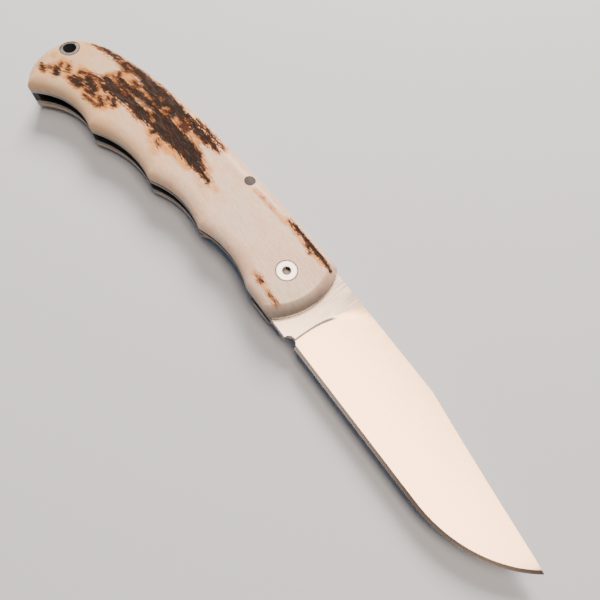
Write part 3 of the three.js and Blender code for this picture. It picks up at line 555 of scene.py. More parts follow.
def polishedAntler():
    # red deer antler, ground and buffed: ivory core with a low waxy gloss, rough dark bark left in
    # the hollows, tan where the polish has cut most of the way through it
    material, shader, add = newMaterial("polishedAntler")
    look = {
        "ivory": "#BFA382",
        "ivoryFront": "#D2BFB3",
        "ivoryShade": "#B29880",
        "tan": "#B47E42",
        # painted shade: the grey-brown laid over the nose's rounding
        "paintedNoseShade": "#54565A",
        # painted shade in the gap round the pins
        "pinGapShade": "#2B211B",
        "amber": "#7C4A22",
        "russet": "#42200F",
        "brown": "#341A10",
        "dark": "#1C110D",
        "black": "#0C0908",
        "smoke": "#3E2F2E",
        "cool": "#B3B2A2",
        "gloss": 0.38,
        "barkGloss": 0.85,
        "shine": 0.2,
        "relief": 0.0003,  # m, how far the bark's ridges stand out
        "ragged": (2.4, 0.6, 1),  # mm along and across the grain
        "fine": (0.85, 0.27, 1),
        "streak": (4.5, 0.55, 1),
        "patch": (5.0, 1.5, 1),
        "cloud": (16, 9, 1),
    }
    along = add("Attribute", output="Fac", attribute_name="grainAlong")
    across = add("Attribute", output="Fac", attribute_name="grainAcross")
    grain = add("CombineXYZ", {"X": along, "Y": across})
    # each noise reads its own part of the pattern, stretched to its own size
    noise = {}
    details = {"ragged": 4.0, "fine": 3.0, "streak": 4.0, "patch": 3.0, "cloud": 2.0}
    for name, detail in details.items():
        shift, scale = (detail, len(noise), 0), [1 / size for size in look[name]]
        place = add("Mapping", {"Vector": grain, "Scale": scale, "Location": shift})
        noise[name] = add("TexNoise", {"Vector": place, "Scale": 1.0, "Detail": detail})
    # ragged outlines: both noises are added to the depth in mm, and so move its edge in and out
    share = {}
    for source, rough, fine, layers in (
        ("dark", 3.2, 3.0, (("dark", 2.5, 3.15, 1.0), ("fringe", 1.5, 2.75, 0.8))),
        ("brown", 2.8, 3.0, (("halo", 1.5, 2.7, 0.7), ("brown", 2.1, 3.1, 1.0))),
        ("pale", 4.6, 4.2, (("pale", 4.1, 5.0, 0.95),)),
        ("wash", 1.0, 1.0, (("wash", 0.8, 1.9, 1.0), ("speckle", 1.9, 2.3, 0.5))),
    ):
        moved = add("Attribute", output="Fac", attribute_name=source)
        for name, amount in (("ragged", rough), ("fine", fine)):
            terms = {0: noise[name], 1: amount, 2: moved}
            moved = add("Math", terms, operation="MULTIPLY_ADD")
        for layer, low, high, most in layers:
            ends = {"Value": moved, "From Min": low, "From Max": high, "To Max": most}
            share[layer] = add("MapRange", ends, interpolation_type="SMOOTHSTEP")
    # patches: none up to the first value of their noise, the most from the second on
    for name, source, low, high, most in (
        ("cloud", "cloud", 0.4, 0.7, 0.6),
        ("cool", "cloud", 0.5, 0.36, 0.5),
        ("smoke", "patch", 0.5, 0.36, 0.5),
        ("streak", "streak", 0.42, 0.6, 1.0),
        ("russet", "patch", 0.54, 0.68, 0.6),
        ("fleck", "fine", 0.6, 0.74, 0.4),
        ("mottle", "streak", 0.45, 0.62, 0.35),
        ("amber", "ragged", 0.42, 0.58, 0.8),
        ("front", None, -75, -15, 1.0),
    ):
        value = noise[source] if source else along
        ends = {"Value": value, "From Min": low, "From Max": high, "To Max": most}
        share[name] = add("MapRange", ends)
    share["paintedNoseShade"] = add("Attribute", output="Fac", attribute_name="paintedNoseShade")
    # painted shade round the pins of the right scale
    share["pinGapShade"] = pinGapShadeShare(add, rightPins)
    # bark: black with dark brown streaks, russet and smoke-grey patches and pale flecks
    paint = {name: toLinear(value) for name, value in look.items() if isinstance(value, str)}
    bark = paint["black"]
    over = {"streak": "dark", "smoke": "smoke", "russet": "russet", "fleck": "amber"}
    for name, layer in over.items():
        bark = add("Mix", {0: share[name], 6: bark, 7: paint[layer]}, **colourMix)
    flecks = {0: share["amber"], 6: paint["tan"], 7: paint["amber"]}
    paint["bark"], paint["fleck"] = bark, add("Mix", flecks, **colourMix)
    # from the ivory up, each colour laid over the last by its own share
    colour = paint["ivory"]
    for name, layer in (
        ("front", "ivoryFront"),
        ("cloud", "ivoryShade"),
        ("cool", "cool"),
        ("mottle", "ivoryShade"),
        ("wash", "tan"),
        ("speckle", "amber"),
        # painted shade on the nose's rounding
        ("paintedNoseShade", "paintedNoseShade"),
        ("fringe", "amber"),
        ("halo", "amber"),
        ("brown", "brown"),
        ("dark", "bark"),
        ("pale", "fleck"),
        # painted shade round the pins
        ("pinGapShade", "pinGapShade"),
    ):
        colour = add("Mix", {0: share[name], 6: colour, 7: paint[layer]}, **colourMix)
    linkTo(colour, shader["Base Color"])
    bare = add("Math", {0: share["dark"], 1: share["brown"]}, operation="MAXIMUM")
    ends = {"Value": bare, "To Min": look["gloss"], "To Max": look["barkGloss"]}
    linkTo(add("MapRange", ends), shader["Roughness"])
    shader["Specular IOR Level"].default_value = look["shine"]
    # relief: ridges along the grain in the bark, hardly any on the polished ivory
    ridges = add("Math", {0: noise["streak"], 1: noise["fine"]})
    depth = add("MapRange", {"Value": share["dark"], "To Min": 0.05, "To Max": 1.0})
    height = add("Math", {0: ridges, 1: depth}, operation="MULTIPLY")
    bump = add("Bump", {"Height": height, "Distance": look["relief"], "Strength": 0.7})
    linkTo(bump, shader["Normal"])
    return material


def grainedMetal(name, colour, roughness, grain, spread=0.05, depth=0.000004, tone=0.06):
    # ground or drawn metal: fine parallel scratches; grain is their size along X, Y and Z in mm,
    # spread how far they move the roughness, depth their height in m, tone how much they darken
    material, shader, add = newMaterial(name)
    place = add("TexCoord", output="Object")
    place = add("Mapping", {"Vector": place, "Scale": [1 / (size * mm) for size in grain]})
    lines = add("TexNoise", {"Vector": place, "Scale": 1.0, "Detail": 4.0, "Roughness": 0.6})
    ends = {"Value": lines, "From Min": 0.3, "From Max": 0.7}
    limits = {"To Min": roughness - spread, "To Max": roughness + spread}
    linkTo(add("MapRange", {**ends, **limits}), shader["Roughness"])
    shade = add("MapRange", {**ends, "To Min": 1 - tone, "To Max": 1})
    tint = add("Mix", {0: shade, 6: (0, 0, 0, 1), 7: toLinear(colour)}, **colourMix)
    linkTo(tint, shader["Base Color"])
    shader["Metallic"].default_value = 1.0
    bump = add("Bump", {"Height": lines, "Distance": depth, "Strength": 0.5})
    linkTo(bump, shader["Normal"])
    return material


def satinBladeSteel():
    # martensitic stainless, hand satined across: soft sheen, faint lines from spine to edge; the
    # sharpening bevel is honed along the edge and mirrors the darker side of the room; painted
    # shade makes it darker towards the belly
    look = {
        "steel": "#FCDFC2",
        # painted shade: the level ricasso tinted greyer and darker than the ground face
        "ricasso": "#E2D6CC",
        # painted highlight: a near-white tint over the plunge's band, lifting its shade
        "plungeBlendAndHighlight": "#F4F2F0",
        "bareHeel": "#B4B1AF",
        # painted shade: the bevel's colour at the belly
        "bevelBellyShade": "#746F6C",
        "satin": 0.28,
        "honed": 0.26,
        "blended": 0.8,  # where the grinding wheel's edge left the plunge rough
        "grain": (0.3, 8, 8),  # mm; real scratches are ten times finer, and would not show
        "spread": 0.06,
        "depth": 0.000008,  # m
        "tone": 0.3,
    }
    paint = {name: toLinear(value) for name, value in look.items() if isinstance(value, str)}
    scratches = [look[name] for name in ("grain", "spread", "depth", "tone")]
    material = grainedMetal("satinStainlessBlade", look["steel"], look["satin"], *scratches)
    shader, add = partsOf(material)
    bevel, plungeBlendAndHighlight, ground = (
        add("Attribute", output="Fac", attribute_name=name)
        for name in ("bevel", "plungeBlendAndHighlight", "ground")
    )
    ends = {"Value": bevel, "From Min": 0.96, "From Max": 1.04, "To Min": 1, "To Max": 0}
    inBevel = add("MapRange", ends)
    satin = shader["Roughness"].links[0].from_socket
    rough = add("Mix", {0: plungeBlendAndHighlight, 2: satin, 3: look["blended"]})
    rough = add("Mix", {0: inBevel, 2: rough, 3: look["honed"]})
    linkTo(rough, shader["Roughness"])
    ends = {"Value": ground, "From Min": -0.3, "From Max": 1.2, "To Min": 1, "To Max": 0}
    unground = add("MapRange", ends)
    # the ricasso's painted shade: greyer and darker for the darker room its level face mirrors, as
    # a share of the ground face's colour, so that the scratches stay in it
    ricassoShade = [part / whole for part, whole in zip(paint["ricasso"], paint["steel"])]
    layers = {0: unground, 6: shader["Base Color"].links[0].from_socket, 7: ricassoShade}
    tint = add("Mix", layers, blend_type="MULTIPLY", **colourMix)
    # painted shade: the bevel darker towards the belly, for the darker room it mirrors there
    belly = add("MapRange", {"Value": ground, "From Min": 15, "From Max": 50})
    bare = {0: belly, 6: paint["bareHeel"], 7: paint["bevelBellyShade"]}
    bare = add("Mix", bare, **colourMix)
    # a near-white painted highlight over the plunge's band, then the bevel's own colour
    for share, layer in ((plungeBlendAndHighlight, paint["plungeBlendAndHighlight"]), (inBevel, bare)):
        tint = add("Mix", {0: share, 6: tint, 7: layer}, **colourMix)
    linkTo(tint, shader["Base Color"])
    return material


def socketScrewSteel():
    # turned and polished stainless: a bright face with faint rings from the lathe; painted shade
    # darkens the socket, its mouth and the head's edge
    look = {
        "face": "#FFFDFF",
        # painted shade on the socket's walls and, lighter, on its bottom
        "socket": "#686462",
        "bottom": "#757170",
        # painted shade round the socket's mouth and on the head's edge
        "screwShade": "#242322",
        "ring": 0.16,  # mm from one turning line to the next
    }
    material, shader, add = newMaterial("polishedScrewSteel")
    place = add("TexCoord", output="Object")
    height = add("SeparateXYZ", {0: place}, output="Z")
    turning = {"W": awayFrom(add, scale=1 / (look["ring"] * mm)), "Scale": 1.0, "Detail": 2.0}
    rings = add("TexNoise", turning, noise_dimensions="1D")
    away = awayFrom(add)
    top = rightHigh[2]
    colour = toLinear(look["face"])
    # painted shade at the socket's mouth, on the head's turned edge, the socket's walls and its
    # bottom: between two places in mm the share goes from the first amount to the last
    for value, low, high, first, last, layer in (
        (away, 1.3, 1.4, 0.95, 0.0, "screwShade"),
        (away, 2.6, 2.9, 0.0, 0.6, "screwShade"),
        (height, top - 0.08, top - 0.02, 1.0, 0.0, "socket"),
        (height, top - 1.28, top - 1.2, 1.0, 0.0, "bottom"),
    ):
        ends = {"From Min": low * mm, "From Max": high * mm, "To Min": first, "To Max": last}
        layers = {0: add("MapRange", {"Value": value, **ends}), 6: colour}
        colour = add("Mix", {**layers, 7: toLinear(look[layer])}, **colourMix)
    linkTo(colour, shader["Base Color"])
    rough = add("MapRange", {"Value": rings, "To Min": 0.2, "To Max": 0.34})
    linkTo(rough, shader["Roughness"])
    shader["Metallic"].default_value = 1.0
    bump = add("Bump", {"Height": rings, "Distance": 0.000004, "Strength": 0.5})
    linkTo(bump, shader["Normal"])
    return material


def drawnTubeSteel():
    # drawn stainless tube: bright filed rim; its bore painted dark grey as shade, and less metallic
    look = {"rim": "#C9C4BF", "bore": "#4C4D50"}
    material = grainedMetal("drawnTubeSteel", look["rim"], 0.3, (0.5, 0.5, 4), 0.05, 0.000006, 0.15)
    shader, add = partsOf(material)
    x, y, radius = seatOf("lanyard_tube", 0)
    # the tube's wall is a quarter of its radius
    ends = {"From Min": 0.72 * radius * mm, "From Max": 0.76 * radius * mm}
    bore = add("MapRange", {"Value": awayFrom(add, x, y), **ends, "To Min": 1, "To Max": 0})
    steel = shader["Base Color"].links[0].from_socket
    # painted shade: the bore dark grey
    tint = add("Mix", {0: bore, 6: steel, 7: toLinear(look["bore"])}, **colourMix)
    linkTo(tint, shader["Base Color"])
    bare = add("MapRange", {"Value": bore, "To Min": 1, "To Max": 0.2})
    linkTo(bare, shader["Metallic"])
    return material


antler = polishedAntler()
satinBlade = satinBladeSteel()
screwSteel = socketScrewSteel()
# cold rolled stainless sheet, its edges filed: lines along the handle; greyer than the blade,
# partly its own finish and partly painted shade for the darker room its edges mirror
rolledLiner = grainedMetal("rolledStainlessLiner", "#8A8886", 0.36, (9, 0.5, 0.25))
# carbon steel, its colour a painted shade: dull, blotchy, dark brown-grey
shadeDarkSpacer = grainedMetal("shadeDarkSpacerSteel", "#4A4644", 0.5, (4, 4, 0.3), 0.08, 0.00001, 0.3)
# peened steel pin filed level with the scale: dull grey, pitted
filedPin = grainedMetal("filedSteelPin", "#302F31", 0.5, (0.5, 0.5, 2), 0.06, 0.00002, 0.3)
# ground and polished pins: bright, with lines along them
drawnSteel = grainedMetal("drawnStainless", "#D8D4CF", 0.28, (0.4, 0.4, 6), 0.05, 0.000004, 0.1)
# phosphor bronze washers: brown-gold, evenly matt
bronzeWasher = grainedMetal("phosphorBronze", "#B98D55", 0.38, (0.8, 0.8, 0.8))
print("materials made")


# liners, lock bar and backspacer, in mm: flat plates inside the handle's outline
plateForm = {
    "endFace": 4.65,  # the lock bar's end face, behind the pivot
    "barTop": 3.4,  # its upper edge there, below the pivot
    "barFall": 5,  # how far that edge falls towards the root
    "barRoot": 60,
    "barLength": 55.4,
    "barShift": 1.4,  # how far its tip springs in behind the open blade's tang
    "barPast": 0.2,  # how far past flush the detent ball pushes it, with some room
    "barGap": 0.03,
    "slot": 0.8,
    "sawGap": 0.15,
    "noseDrop": 3.2,
    "noseRake": 2.6,
    "reliefStart": 57,
    "reliefLength": 6,
    "reliefDepth": 0.5,
    "spacerWidth": 5.15,  # leaves the folded blade's edge a hair of room
    "spacerFront": 24.6,
    "spacerTurn": 79.92,  # where its inner edge leaves the back and goes round the tube
    "buttCorner": (-98.3, -28.3),  # the handle's own
    # the well's way round the tube, from the tube's front and from that corner
    "besideTube": (1.6, -3.5),
    "tubePulls": ((0.5, 4), (0.4, -9)),
    "cornerPulls": ((-0.6, 6), (2, 0)),
    "turnPull": (9, 2),
    "barrel": 2.45,  # radius of the holes on the pivot
    "outside": 34,  # a cutter reaches this far below the pivot, well past the handle
    "endHeight": 0.02,  # what is left of a plate at its two ends
}
# thumb cut-out: how far behind and below the pivot it starts, and how much its cone opens outwards
thumbForm = {"back": 14, "top": 6.8, "radius": 17.1, "flare": 2.2}


def thumbCutter():
    # a cone that opens towards the outer face of the left scale
    form = thumbForm
    low, high = leftLow[2] - 1, linerLow[2]
    bpy.ops.mesh.primitive_cone_add(
        vertices=192,
        radius1=(form["radius"] + form["flare"]) * mm,
        radius2=form["radius"] * mm,
        depth=(high - low) * mm,
        location=(-form["back"] * mm, (-form["top"] - form["radius"]) * mm, (low + high) / 2 * mm),
    )
    return bpy.context.object


def handlePlate(name, bottom, top, material):
    # everything between the handle's two edges: a rectangle across it at each place along it
    x = np.unique(np.round(np.concatenate([lowerEdge[:, 0], upperEdge[:, 0]]), 3))
    low, high = edgesAt(x)
    low[[0, -1]] = high[[0, -1]] - plateForm["endHeight"]
    y = np.stack([low, high, high, low], 1)
    z = np.tile([bottom, bottom, top, top], (len(x), 1))
    return sectionSkin(name, np.stack([np.repeat(x[:, None], 4, 1), y, z], -1), material)


def prismOf(outline, bottom, top):
    # a flat outline carried straight up from bottom to top
    flat = np.array(outline, float)
    rings = [np.column_stack([flat, np.full(len(flat), level)]) for level in (bottom, top)]
    return sectionSkin("prism", np.stack(rings), rolledLiner)


def barEdge(x):
    # upper edge of the lock bar: a straight line that falls towards its root
    form = plateForm
    return -form["barTop"] + form["barFall"] * (x + form["endFace"]) / form["barLength"]


def barOutline(slot, root):
    # the bar, or with a width the slot that is sawn round it
    form = plateForm
    tip = -form["endFace"] + slot
    low = -form["barTop"] - form["noseDrop"]
    floor = -handleForm["buttDrop"] - 5
    slant = math.hypot(form["noseRake"], low + handleForm["bellyDepth"])
    cutBack = tip - form["noseRake"] * (low - floor) / slant
    nose = [(cutBack, floor), (tip, low), (tip, barEdge(tip) + slot)]
    return [(root, floor), *nose, (root, barEdge(root) + slot)]


def bladeWell():
    # the room that the folded blade needs; what is left of the plate behind it is the backspacer
    form = plateForm
    front, turn = -form["spacerFront"], -form["spacerTurn"]
    x, y, radius = seatOf("lanyard_tube", 0)
    tube = np.array([x + radius, y])
    inner = np.linspace(front, turn, 40)
    inner = np.column_stack([inner, np.interp(inner, *upperEdge.T) - form["spacerWidth"]])
    beside = tube + form["besideTube"]
    above, below = tube + np.array(form["tubePulls"])
    over, foot = np.array(form["buttCorner"]) + np.array(form["cornerPulls"])
    upper = bezier(inner[-1], inner[-1] - form["turnPull"], above, beside, 30)
    lower = bezier(beside, below, over, foot, 30)
    # closed in front of the nose and below the belly, outside the handle
    ends = np.array([[20, -form["outside"]], [20, 20], [front, 20]])
    return np.vstack([ends, inner, upper[1:], lower[1:], [[foot[0], -form["outside"]]]])


def springBar(mesh, level, shift):
    # turns the bar about its root until its tip has moved in by the shift
    form = plateForm
    turn = math.asin(shift / (form["barRoot"] - form["endFace"]))
    place = placesOf(mesh)
    x, z = place[:, 0] + form["barRoot"] * mm, place[:, 2] - level * mm
    place[:, 0] = x * math.cos(turn) + z * math.sin(turn) - form["barRoot"] * mm
    place[:, 2] = z * math.cos(turn) - x * math.sin(turn) + level * mm
    mesh.vertices.foreach_set("co", place.ravel())
    mesh.update()


def barRoom():
    # the bar's own shape, turned out a little past flush: the room it needs under the right scale
    form = plateForm
    outline = barOutline(form["barPast"], -form["barRoot"] - form["sawGap"])
    room = prismOf(outline, linerLow[2], linerHigh[2] + form["barGap"])
    springBar(room.data, linerLow[2], -form["barPast"])
    return room


def finishPlate(piece, node, body):
    # shading, and the CAD node and body that the piece stands for
    shadeByAngle(piece, 30)
    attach(piece, body)
    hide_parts(node)


def makePlates():
    # each plate is the whole outline, cut by its holes and by the thumb cut-out, slot or well
    form = plateForm
    pins = ("lanyard_tube", "spacer_pin", "stop_pin")
    made = {}
    for name, low, high in (
        ("leftLiner", leftLinerLow, leftLinerHigh),
        ("rightLiner", linerLow, linerHigh),
    ):
        bottom, top = low[2], high[2]
        made[name] = handlePlate(name, bottom, top, rolledLiner)
        under, over = bottom - 1, top + 1  # cutters reach past both faces
        cutRods(made[name], [*map(seatOf, pins), (0, 0, form["barrel"])], under, over)
    cutWith(made["leftLiner"], thumbCutter())
    slot = barOutline(form["slot"], -form["barRoot"] - form["sawGap"])
    cutWith(made["rightLiner"], prismOf(slot, under, over))
    bar = handlePlate("lockBar", bottom, top, rolledLiner)
    cutWith(bar, prismOf(barOutline(0, -form["barRoot"]), under, over), "INTERSECT")
    cutRods(bar, [seatOf("detent_ball")], under, over)
    # a thinner strip near the root, where the bar bends
    start = -form["reliefStart"]
    end = start + form["reliefLength"]
    foot, head = -form["outside"], barEdge(start) + 1
    relief = [(start, foot), (end, foot), (end, head), (start, head)]
    cutWith(bar, prismOf(relief, top - form["reliefDepth"], over))
    springBar(bar.data, bottom, form["barShift"])
    bottom, top = leftLinerHigh[2], linerLow[2]
    # the backspacer's dark colour is painted shade
    spacer = handlePlate("backSpacer", bottom, top, shadeDarkSpacer)
    under, over = bottom - 1, top + 1
    cutWith(spacer, prismOf(bladeWell(), under, over))
    cutRods(spacer, map(seatOf, pins[:2]), under, over)
    finishPlate(made["leftLiner"], "left_liner", "handle")
    finishPlate(made["rightLiner"], "right_liner", "handle")
    finishPlate(bar, "lock_bar", "lock")
    finishPlate(spacer, "backspacer", "handle")


makePlates()
print("liners, lock bar and backspacer made")


rightMarks = {"dark": rightDark, "brown": rightBrown, "pale": rightPale, "wash": rightTan}
leftMarks = {"dark": leftDark, "brown": leftBrown, "pale": leftPale, "wash": leftTan}
rightScale = makeScale(
    "rightScale", rightLow[2], rightHigh[2], rightMarks, rightPins, barRoom()
)
leftScale = makeScale("leftScale", leftHigh[2], leftLow[2], leftMarks, leftPins, thumbCutter())
for piece, node in ((rightScale, "right_scale"), (leftScale, "left_scale")):
    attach(piece, "handle")
    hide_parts(node)
print("scales made:", len(rightScale.data.vertices), "points")


# blade, in mm from the pivot
bladeForm = {
    "tangRadius": 7.7,
    "lockFaceBack": 4.6,
    "lockFaceTop": 3,
    "openShoulder": 0.48,  # the two steps of the tang that meet the stop pin
    "foldedShoulder": 1.31,
    "spineFall": 0.7,
    "clipStart": 50,
    "clipHollow": 0.33,
    "tipHeight": 4.95,
    "edgeDepth": 10.55,
    "ricassoDepth": 10.9,
    "bellyStart": 68,
    "bevelWidth": 1,
    "shoulder": 0.5,  # thickness above the sharpening bevel
    "tipTaper": 0.8,  # 1 thins the spine in step with the width
    "edgeThickness": 0.01,
    "choilForward": 16,
    "choilRadius": 2,
    "plungeStart": 16.1,  # at the edge, just before the choil's front
    "plungeFoot": -9,  # it stands upright up to here, and leans forward above
    "plungeLean": 0.0065,
    "plungeEase": 13,  # the lean comes in over this height
    "plungeRound": 0.35,
    "plungeFade": 8,
    "plungeBand": 0.8,  # its rough band, with its painted highlight, reaches this many widths from its middle
    "plungeCrisp": 1.4,  # no band where the blend is wider than this
    "foldedTurn": 171,  # degrees
    "ballHollow": 0.4,
}
# nail nick, a groove in the left face
nickForm = {"length": 14, "width": 1.7, "depth": 0.55, "forward": 29, "height": 7.4}


def spineLine(x):
    # level with a slight fall, then the clip: a straight drop to the tip, hollowed by a parabola
    form = bladeForm
    top, reach = bladeHigh[1], bladeHigh[0]
    share = np.clip((x - form["clipStart"]) / (reach - form["clipStart"]), 0, 1)
    straight = top - form["spineFall"] * np.clip(x / form["clipStart"], 0, 1)
    clip = (top - form["spineFall"] - form["tipHeight"]) * share
    return straight - clip - 4 * form["clipHollow"] * share * (1 - share)


def bellyRadius():
    # the circle that leaves the edge level at bellyStart and climbs to the tip
    rise = bladeForm["tipHeight"] + bladeForm["edgeDepth"]
    return ((bladeHigh[0] - bladeForm["bellyStart"]) ** 2 + rise**2) / (2 * rise)


def edgeLine(x):
    # straight, then part of the belly's circle up to the tip
    radius = bellyRadius()
    past = np.clip(x - bladeForm["bellyStart"], 0, radius)
    return radius - bladeForm["edgeDepth"] - np.sqrt(radius**2 - past**2)


def bevelWidthAt(x):
    # the bevel keeps its width square to the edge, so it is taller where the belly climbs; at the
    # point it is wider than what is left of the blade, which runs out to nothing there
    slope = np.clip((x - bladeForm["bellyStart"]) / bellyRadius(), 0, 0.9)
    return bladeForm["bevelWidth"] / np.sqrt(1 - slope**2)


def plungeX(y):
    # where the ground face starts: upright at the edge, then forward with the height's square
    form = bladeForm
    up = np.maximum(y - form["plungeFoot"], 0)
    return form["plungeStart"] + form["plungeLean"] * up**2 * np.minimum(up / form["plungeEase"], 1)


def plungeWidth(y, low, high):
    # the plunge is crisp at the edge and runs out into a wide soft blend before the spine
    form = bladeForm
    share = np.clip((y - low) / (high - low), 0, 1)
    return form["plungeRound"] + form["plungeFade"] * share**4


def bladeHalf(x, y):
    # half the thickness: flat ricasso, plunge, ground face and sharpening bevel
    form = bladeForm
    full = (bladeHigh[2] - bladeLow[2]) / 2
    low, high = edgeLine(x), spineLine(x)
    width = np.maximum(high - low, 1e-6)
    bevel = bevelWidthAt(x)
    widest = spineLine(np.array(form["clipStart"])) + form["edgeDepth"]
    shoulder = form["shoulder"] / 2
    taper = np.clip((width - bevel) / (widest - form["bevelWidth"]), 0, 1) ** form["tipTaper"]
    spine = shoulder + (full - shoulder) * taper
    share = np.clip((y - low - bevel) / np.maximum(width - bevel, 1e-6), 0, 1)
    ground = shoulder + (spine - shoulder) * share
    ground = np.where(y < low + bevel, shoulder * np.clip((y - low) / bevel, 0, 1), ground)
    return full + (ground - full) * smoothStep(0, 1, (x - plungeX(y)) / plungeWidth(y, low, high))


def tangEdges(x):
    # upper and lower edge behind the ground face: the heel is a circle, cut by three upright steps
    form = bladeForm
    heel = np.sqrt(np.maximum(form["tangRadius"] ** 2 - x**2, 0))
    upper = np.where(x < form["openShoulder"], heel, spineLine(x))
    choil = form["choilRadius"] ** 2 - (x - form["choilForward"]) ** 2
    ricasso = -form["ricassoDepth"] + np.where(choil > 0, np.sqrt(np.maximum(choil, 0)), 0)
    front = np.where(x < form["choilForward"] + form["choilRadius"], ricasso, edgeLine(x))
    lower = np.where(x < form["foldedShoulder"], -heel, front)
    return upper, np.where(x < -form["lockFaceBack"], -np.minimum(heel, form["lockFaceTop"]), lower)


def makeBlade():
    # each section is the blade's height at one x, half its thickness over and under the middle;
    # sections crowd together at the heel, the choil, the plunge and the tip
    form = bladeForm
    step = 1e-4  # an upright step is two sections this far apart
    ends = [form["openShoulder"], form["foldedShoulder"], -form["lockFaceBack"]]
    heelTurn = np.linspace(0, math.pi / 2, 24)
    choilTurn = np.linspace(0, math.pi, 40)
    bellyTurn = np.linspace(0, math.pi / 2, 60)
    belly = form["bellyStart"]
    x = np.concatenate(
        [
            -form["tangRadius"] * np.cos(heelTurn),
            np.array([[end - step, end + step] for end in ends]).ravel(),
            np.arange(0, 15.5, 0.5),  # tang
            form["choilForward"] - form["choilRadius"] * np.cos(choilTurn),
            np.arange(15.6, 20.5, 0.08),  # plunge
            np.arange(20.5, belly, 0.75),  # ground face
            belly + (bladeHigh[0] - belly) * np.sin(bellyTurn),
        ]
    )
    x = np.unique(np.round(x, 6))
    upper, lower = tangEdges(x)
    upper[-1] = lower[-1] = form["tipHeight"]
    upper[0] = lower[0] = 0
    # across: points close together on the sharpening bevel, then even to the spine
    bevel = np.minimum(bevelWidthAt(x), 0.9 * (upper - lower))
    first = np.linspace(0, 1, 7)
    rest = np.linspace(0, 1, 40)[1:]
    face = (lower + bevel)[:, None] + (upper - lower - bevel)[:, None] * rest
    y = np.concatenate([lower[:, None] + bevel[:, None] * first, face], 1)
    gridX = np.repeat(x[:, None], y.shape[1], 1)
    half = np.maximum(bladeHalf(gridX, y), form["edgeThickness"] / 2)
    middle = (bladeLow[2] + bladeHigh[2]) / 2
    top = np.stack([gridX, y, middle + half], -1)
    under = np.stack([gridX, y, middle - half], -1)[:, ::-1]
    return sectionSkin("knifeBlade", np.concatenate([top, under], 1), satinBlade)


def nickCutter():
    # nail nick: the shallow bite of a large disc that stands along the blade, in its left face
    form = nickForm
    radius = form["length"] ** 2 / (8 * form["depth"])
    x, y = form["forward"], form["height"]
    face = (bladeLow[2] + bladeHigh[2]) / 2 - bladeHalf(np.array([[x]]), np.array([[y]]))[0, 0]
    bpy.ops.mesh.primitive_cylinder_add(
        vertices=720,
        radius=radius * mm,
        depth=form["width"] * mm,
        location=(x * mm, y * mm, (face + form["depth"] - radius) * mm),
        rotation=(math.pi / 2, 0, 0),
    )
    return bpy.context.object


def markFinishes(mesh):
    # for the changes of finish and the plunge's painted highlight: height above the edge as a share
    # of the bevel's width, how far a point lies forward of the plunge in mm, and how near it is to
    # the plunge's middle
    form = bladeForm
    x, y = placesOf(mesh)[:, :2].T / mm
    forward = x - plungeX(y)
    width = plungeWidth(y, edgeLine(x), spineLine(x))
    above = (y - edgeLine(x)) / bevelWidthAt(x)
    band = 1 - np.abs(forward / width - 0.5) / form["plungeBand"]
    measures = {
        "bevel": np.where(x > form["choilForward"], above, 2.0),
        "ground": forward,
        "plungeBlendAndHighlight": band * np.clip(form["plungeCrisp"] - width, 0, 1),
    }
    storeMeasures(mesh, measures)


knifeBlade = makeBlade()
# the detent ball drops into a hollow in the tang when the blade is folded
folded = math.radians(bladeForm["foldedTurn"])
x, y, radius = seatOf("detent_ball", 0)
cosine, sine = math.cos(folded), math.sin(folded)
foldedBall = (x * cosine - y * sine, x * sine + y * cosine)
under, over = bladeLow[2] - 1, bladeHigh[2] + 1
cutRods(knifeBlade, [(0, 0, plateForm["barrel"])], under, over)
cutRods(knifeBlade, [(*foldedBall, radius)], bladeHigh[2] - bladeForm["ballHollow"], over)
cutWith(knifeBlade, nickCutter())
markFinishes(knifeBlade.data)
shadeByAngle(knifeBlade, 8)
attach(knifeBlade, "blade")
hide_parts("blade")
print("blade made:", len(knifeBlade.data.vertices), "points")


# finishes on the CAD pieces
finishes = {
    screwSteel: ["pivot_screw"],
    drawnSteel: ["pivot_barrel", "stop_pin", "detent_ball"],
    drawnTubeSteel(): ["lanyard_tube"],
    filedPin: ["spacer_pin"],
    bronzeWasher: ["right_washer", "left_washer"],
}
for material, nodes in finishes.items():
    for node in nodes:
        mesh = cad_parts[node].data
        mesh.materials.clear()
        mesh.materials.append(material)
print("finishes set")


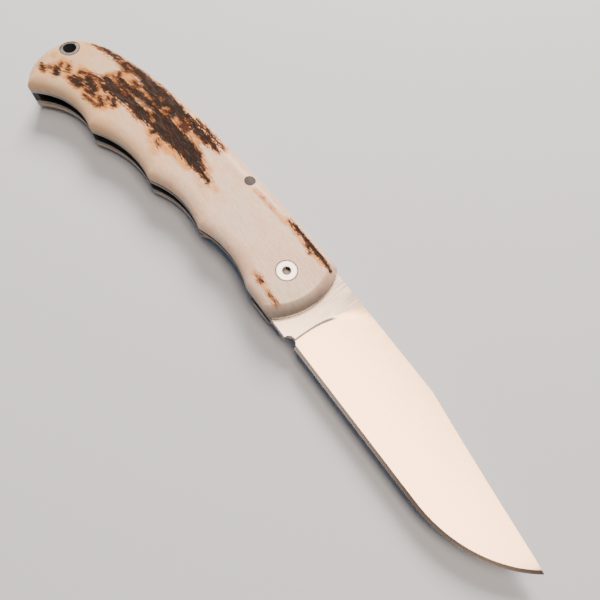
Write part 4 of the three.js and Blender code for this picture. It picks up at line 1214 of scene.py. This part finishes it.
# stage, light and camera
stageForm = {
    "floorSize": 8.0,  # m
    "floorLevel": -0.00002,  # m, a hair under the knife
    "floorColour": "#A9B5C3",
    "worldColour": "#C3CFE2",
    "worldStrength": 0.34,
    "keyPlace": (-0.5, 0.48, 0.55),  # m, beyond the back of the handle and above
    "keySize": (0.35, 0.35),
    "keyPower": 25.0,
    "keyColour": "#FFEAD8",
    "ceilingPlace": (0.19, 0.09, 0.95),  # m, above the knife: this is what the blade mirrors
    "ceilingSize": (1.05, 0.38),
    "ceilingPower": 13.8,
    "ceilingColour": "#FFDDBD",
    "cameraPlace": (41.25, -36.98, 140.38),  # mm
    "cameraTurn": (20.0015, -3.70976, 52.86196),  # degrees about X, Y and Z
    "lens": 30.0,
    "sensor": 36.0,
}


def paleFloor():
    # matt studio paper: no gloss, faintly uneven with fibres of a millimetre
    form = stageForm
    material, shader, add = newMaterial("studioPaper")
    place = add("TexCoord", output="Object")
    fibre = add("TexNoise", {"Vector": place, "Scale": 900.0, "Detail": 2.0})
    bump = add("Bump", {"Height": fibre, "Distance": 0.00004, "Strength": 0.3})
    shader["Base Color"].default_value = toLinear(form["floorColour"])
    shader["Roughness"].default_value = 0.85
    linkTo(bump, shader["Normal"])
    bpy.ops.mesh.primitive_plane_add(size=form["floorSize"], location=(0, 0, form["floorLevel"]))
    floor = bpy.context.object
    floor.name = "floor"
    floor.data.materials.append(material)


def softLight(name):
    # the key looks at the knife, the ceiling straight down
    form = stageForm
    light = bpy.data.lights.new(name, "AREA")
    light.shape, light.energy = "RECTANGLE", form[name + "Power"]
    light.size, light.size_y = form[name + "Size"]
    light.color = toLinear(form[name + "Colour"])[:3]
    lamp = bpy.data.objects.new(name, light)
    lamp.location = form[name + "Place"]
    if name == "key":
        lamp.rotation_euler = (-lamp.location).to_track_quat("-Z", "Y").to_euler()
    bpy.context.scene.collection.objects.link(lamp)


def studio():
    # even light from the sky, the two lights and the camera
    form = stageForm
    world = bpy.data.worlds.new("studio")
    world.use_nodes = True
    sky = world.node_tree.nodes["Background"].inputs
    sky["Color"].default_value = toLinear(form["worldColour"])
    sky["Strength"].default_value = form["worldStrength"]
    bpy.context.scene.world = world
    softLight("key")
    softLight("ceiling")
    camera = bpy.data.cameras.new("camera")
    camera.lens, camera.sensor_width = form["lens"], form["sensor"]
    camera.clip_start, camera.clip_end = 0.005, 20
    holder = bpy.data.objects.new("camera", camera)
    holder.location = Vector(form["cameraPlace"]) * mm
    holder.rotation_euler = Euler([math.radians(turn) for turn in form["cameraTurn"]])
    bpy.context.scene.collection.objects.link(holder)
    bpy.context.scene.camera = holder


paleFloor()
studio()
print("stage made")
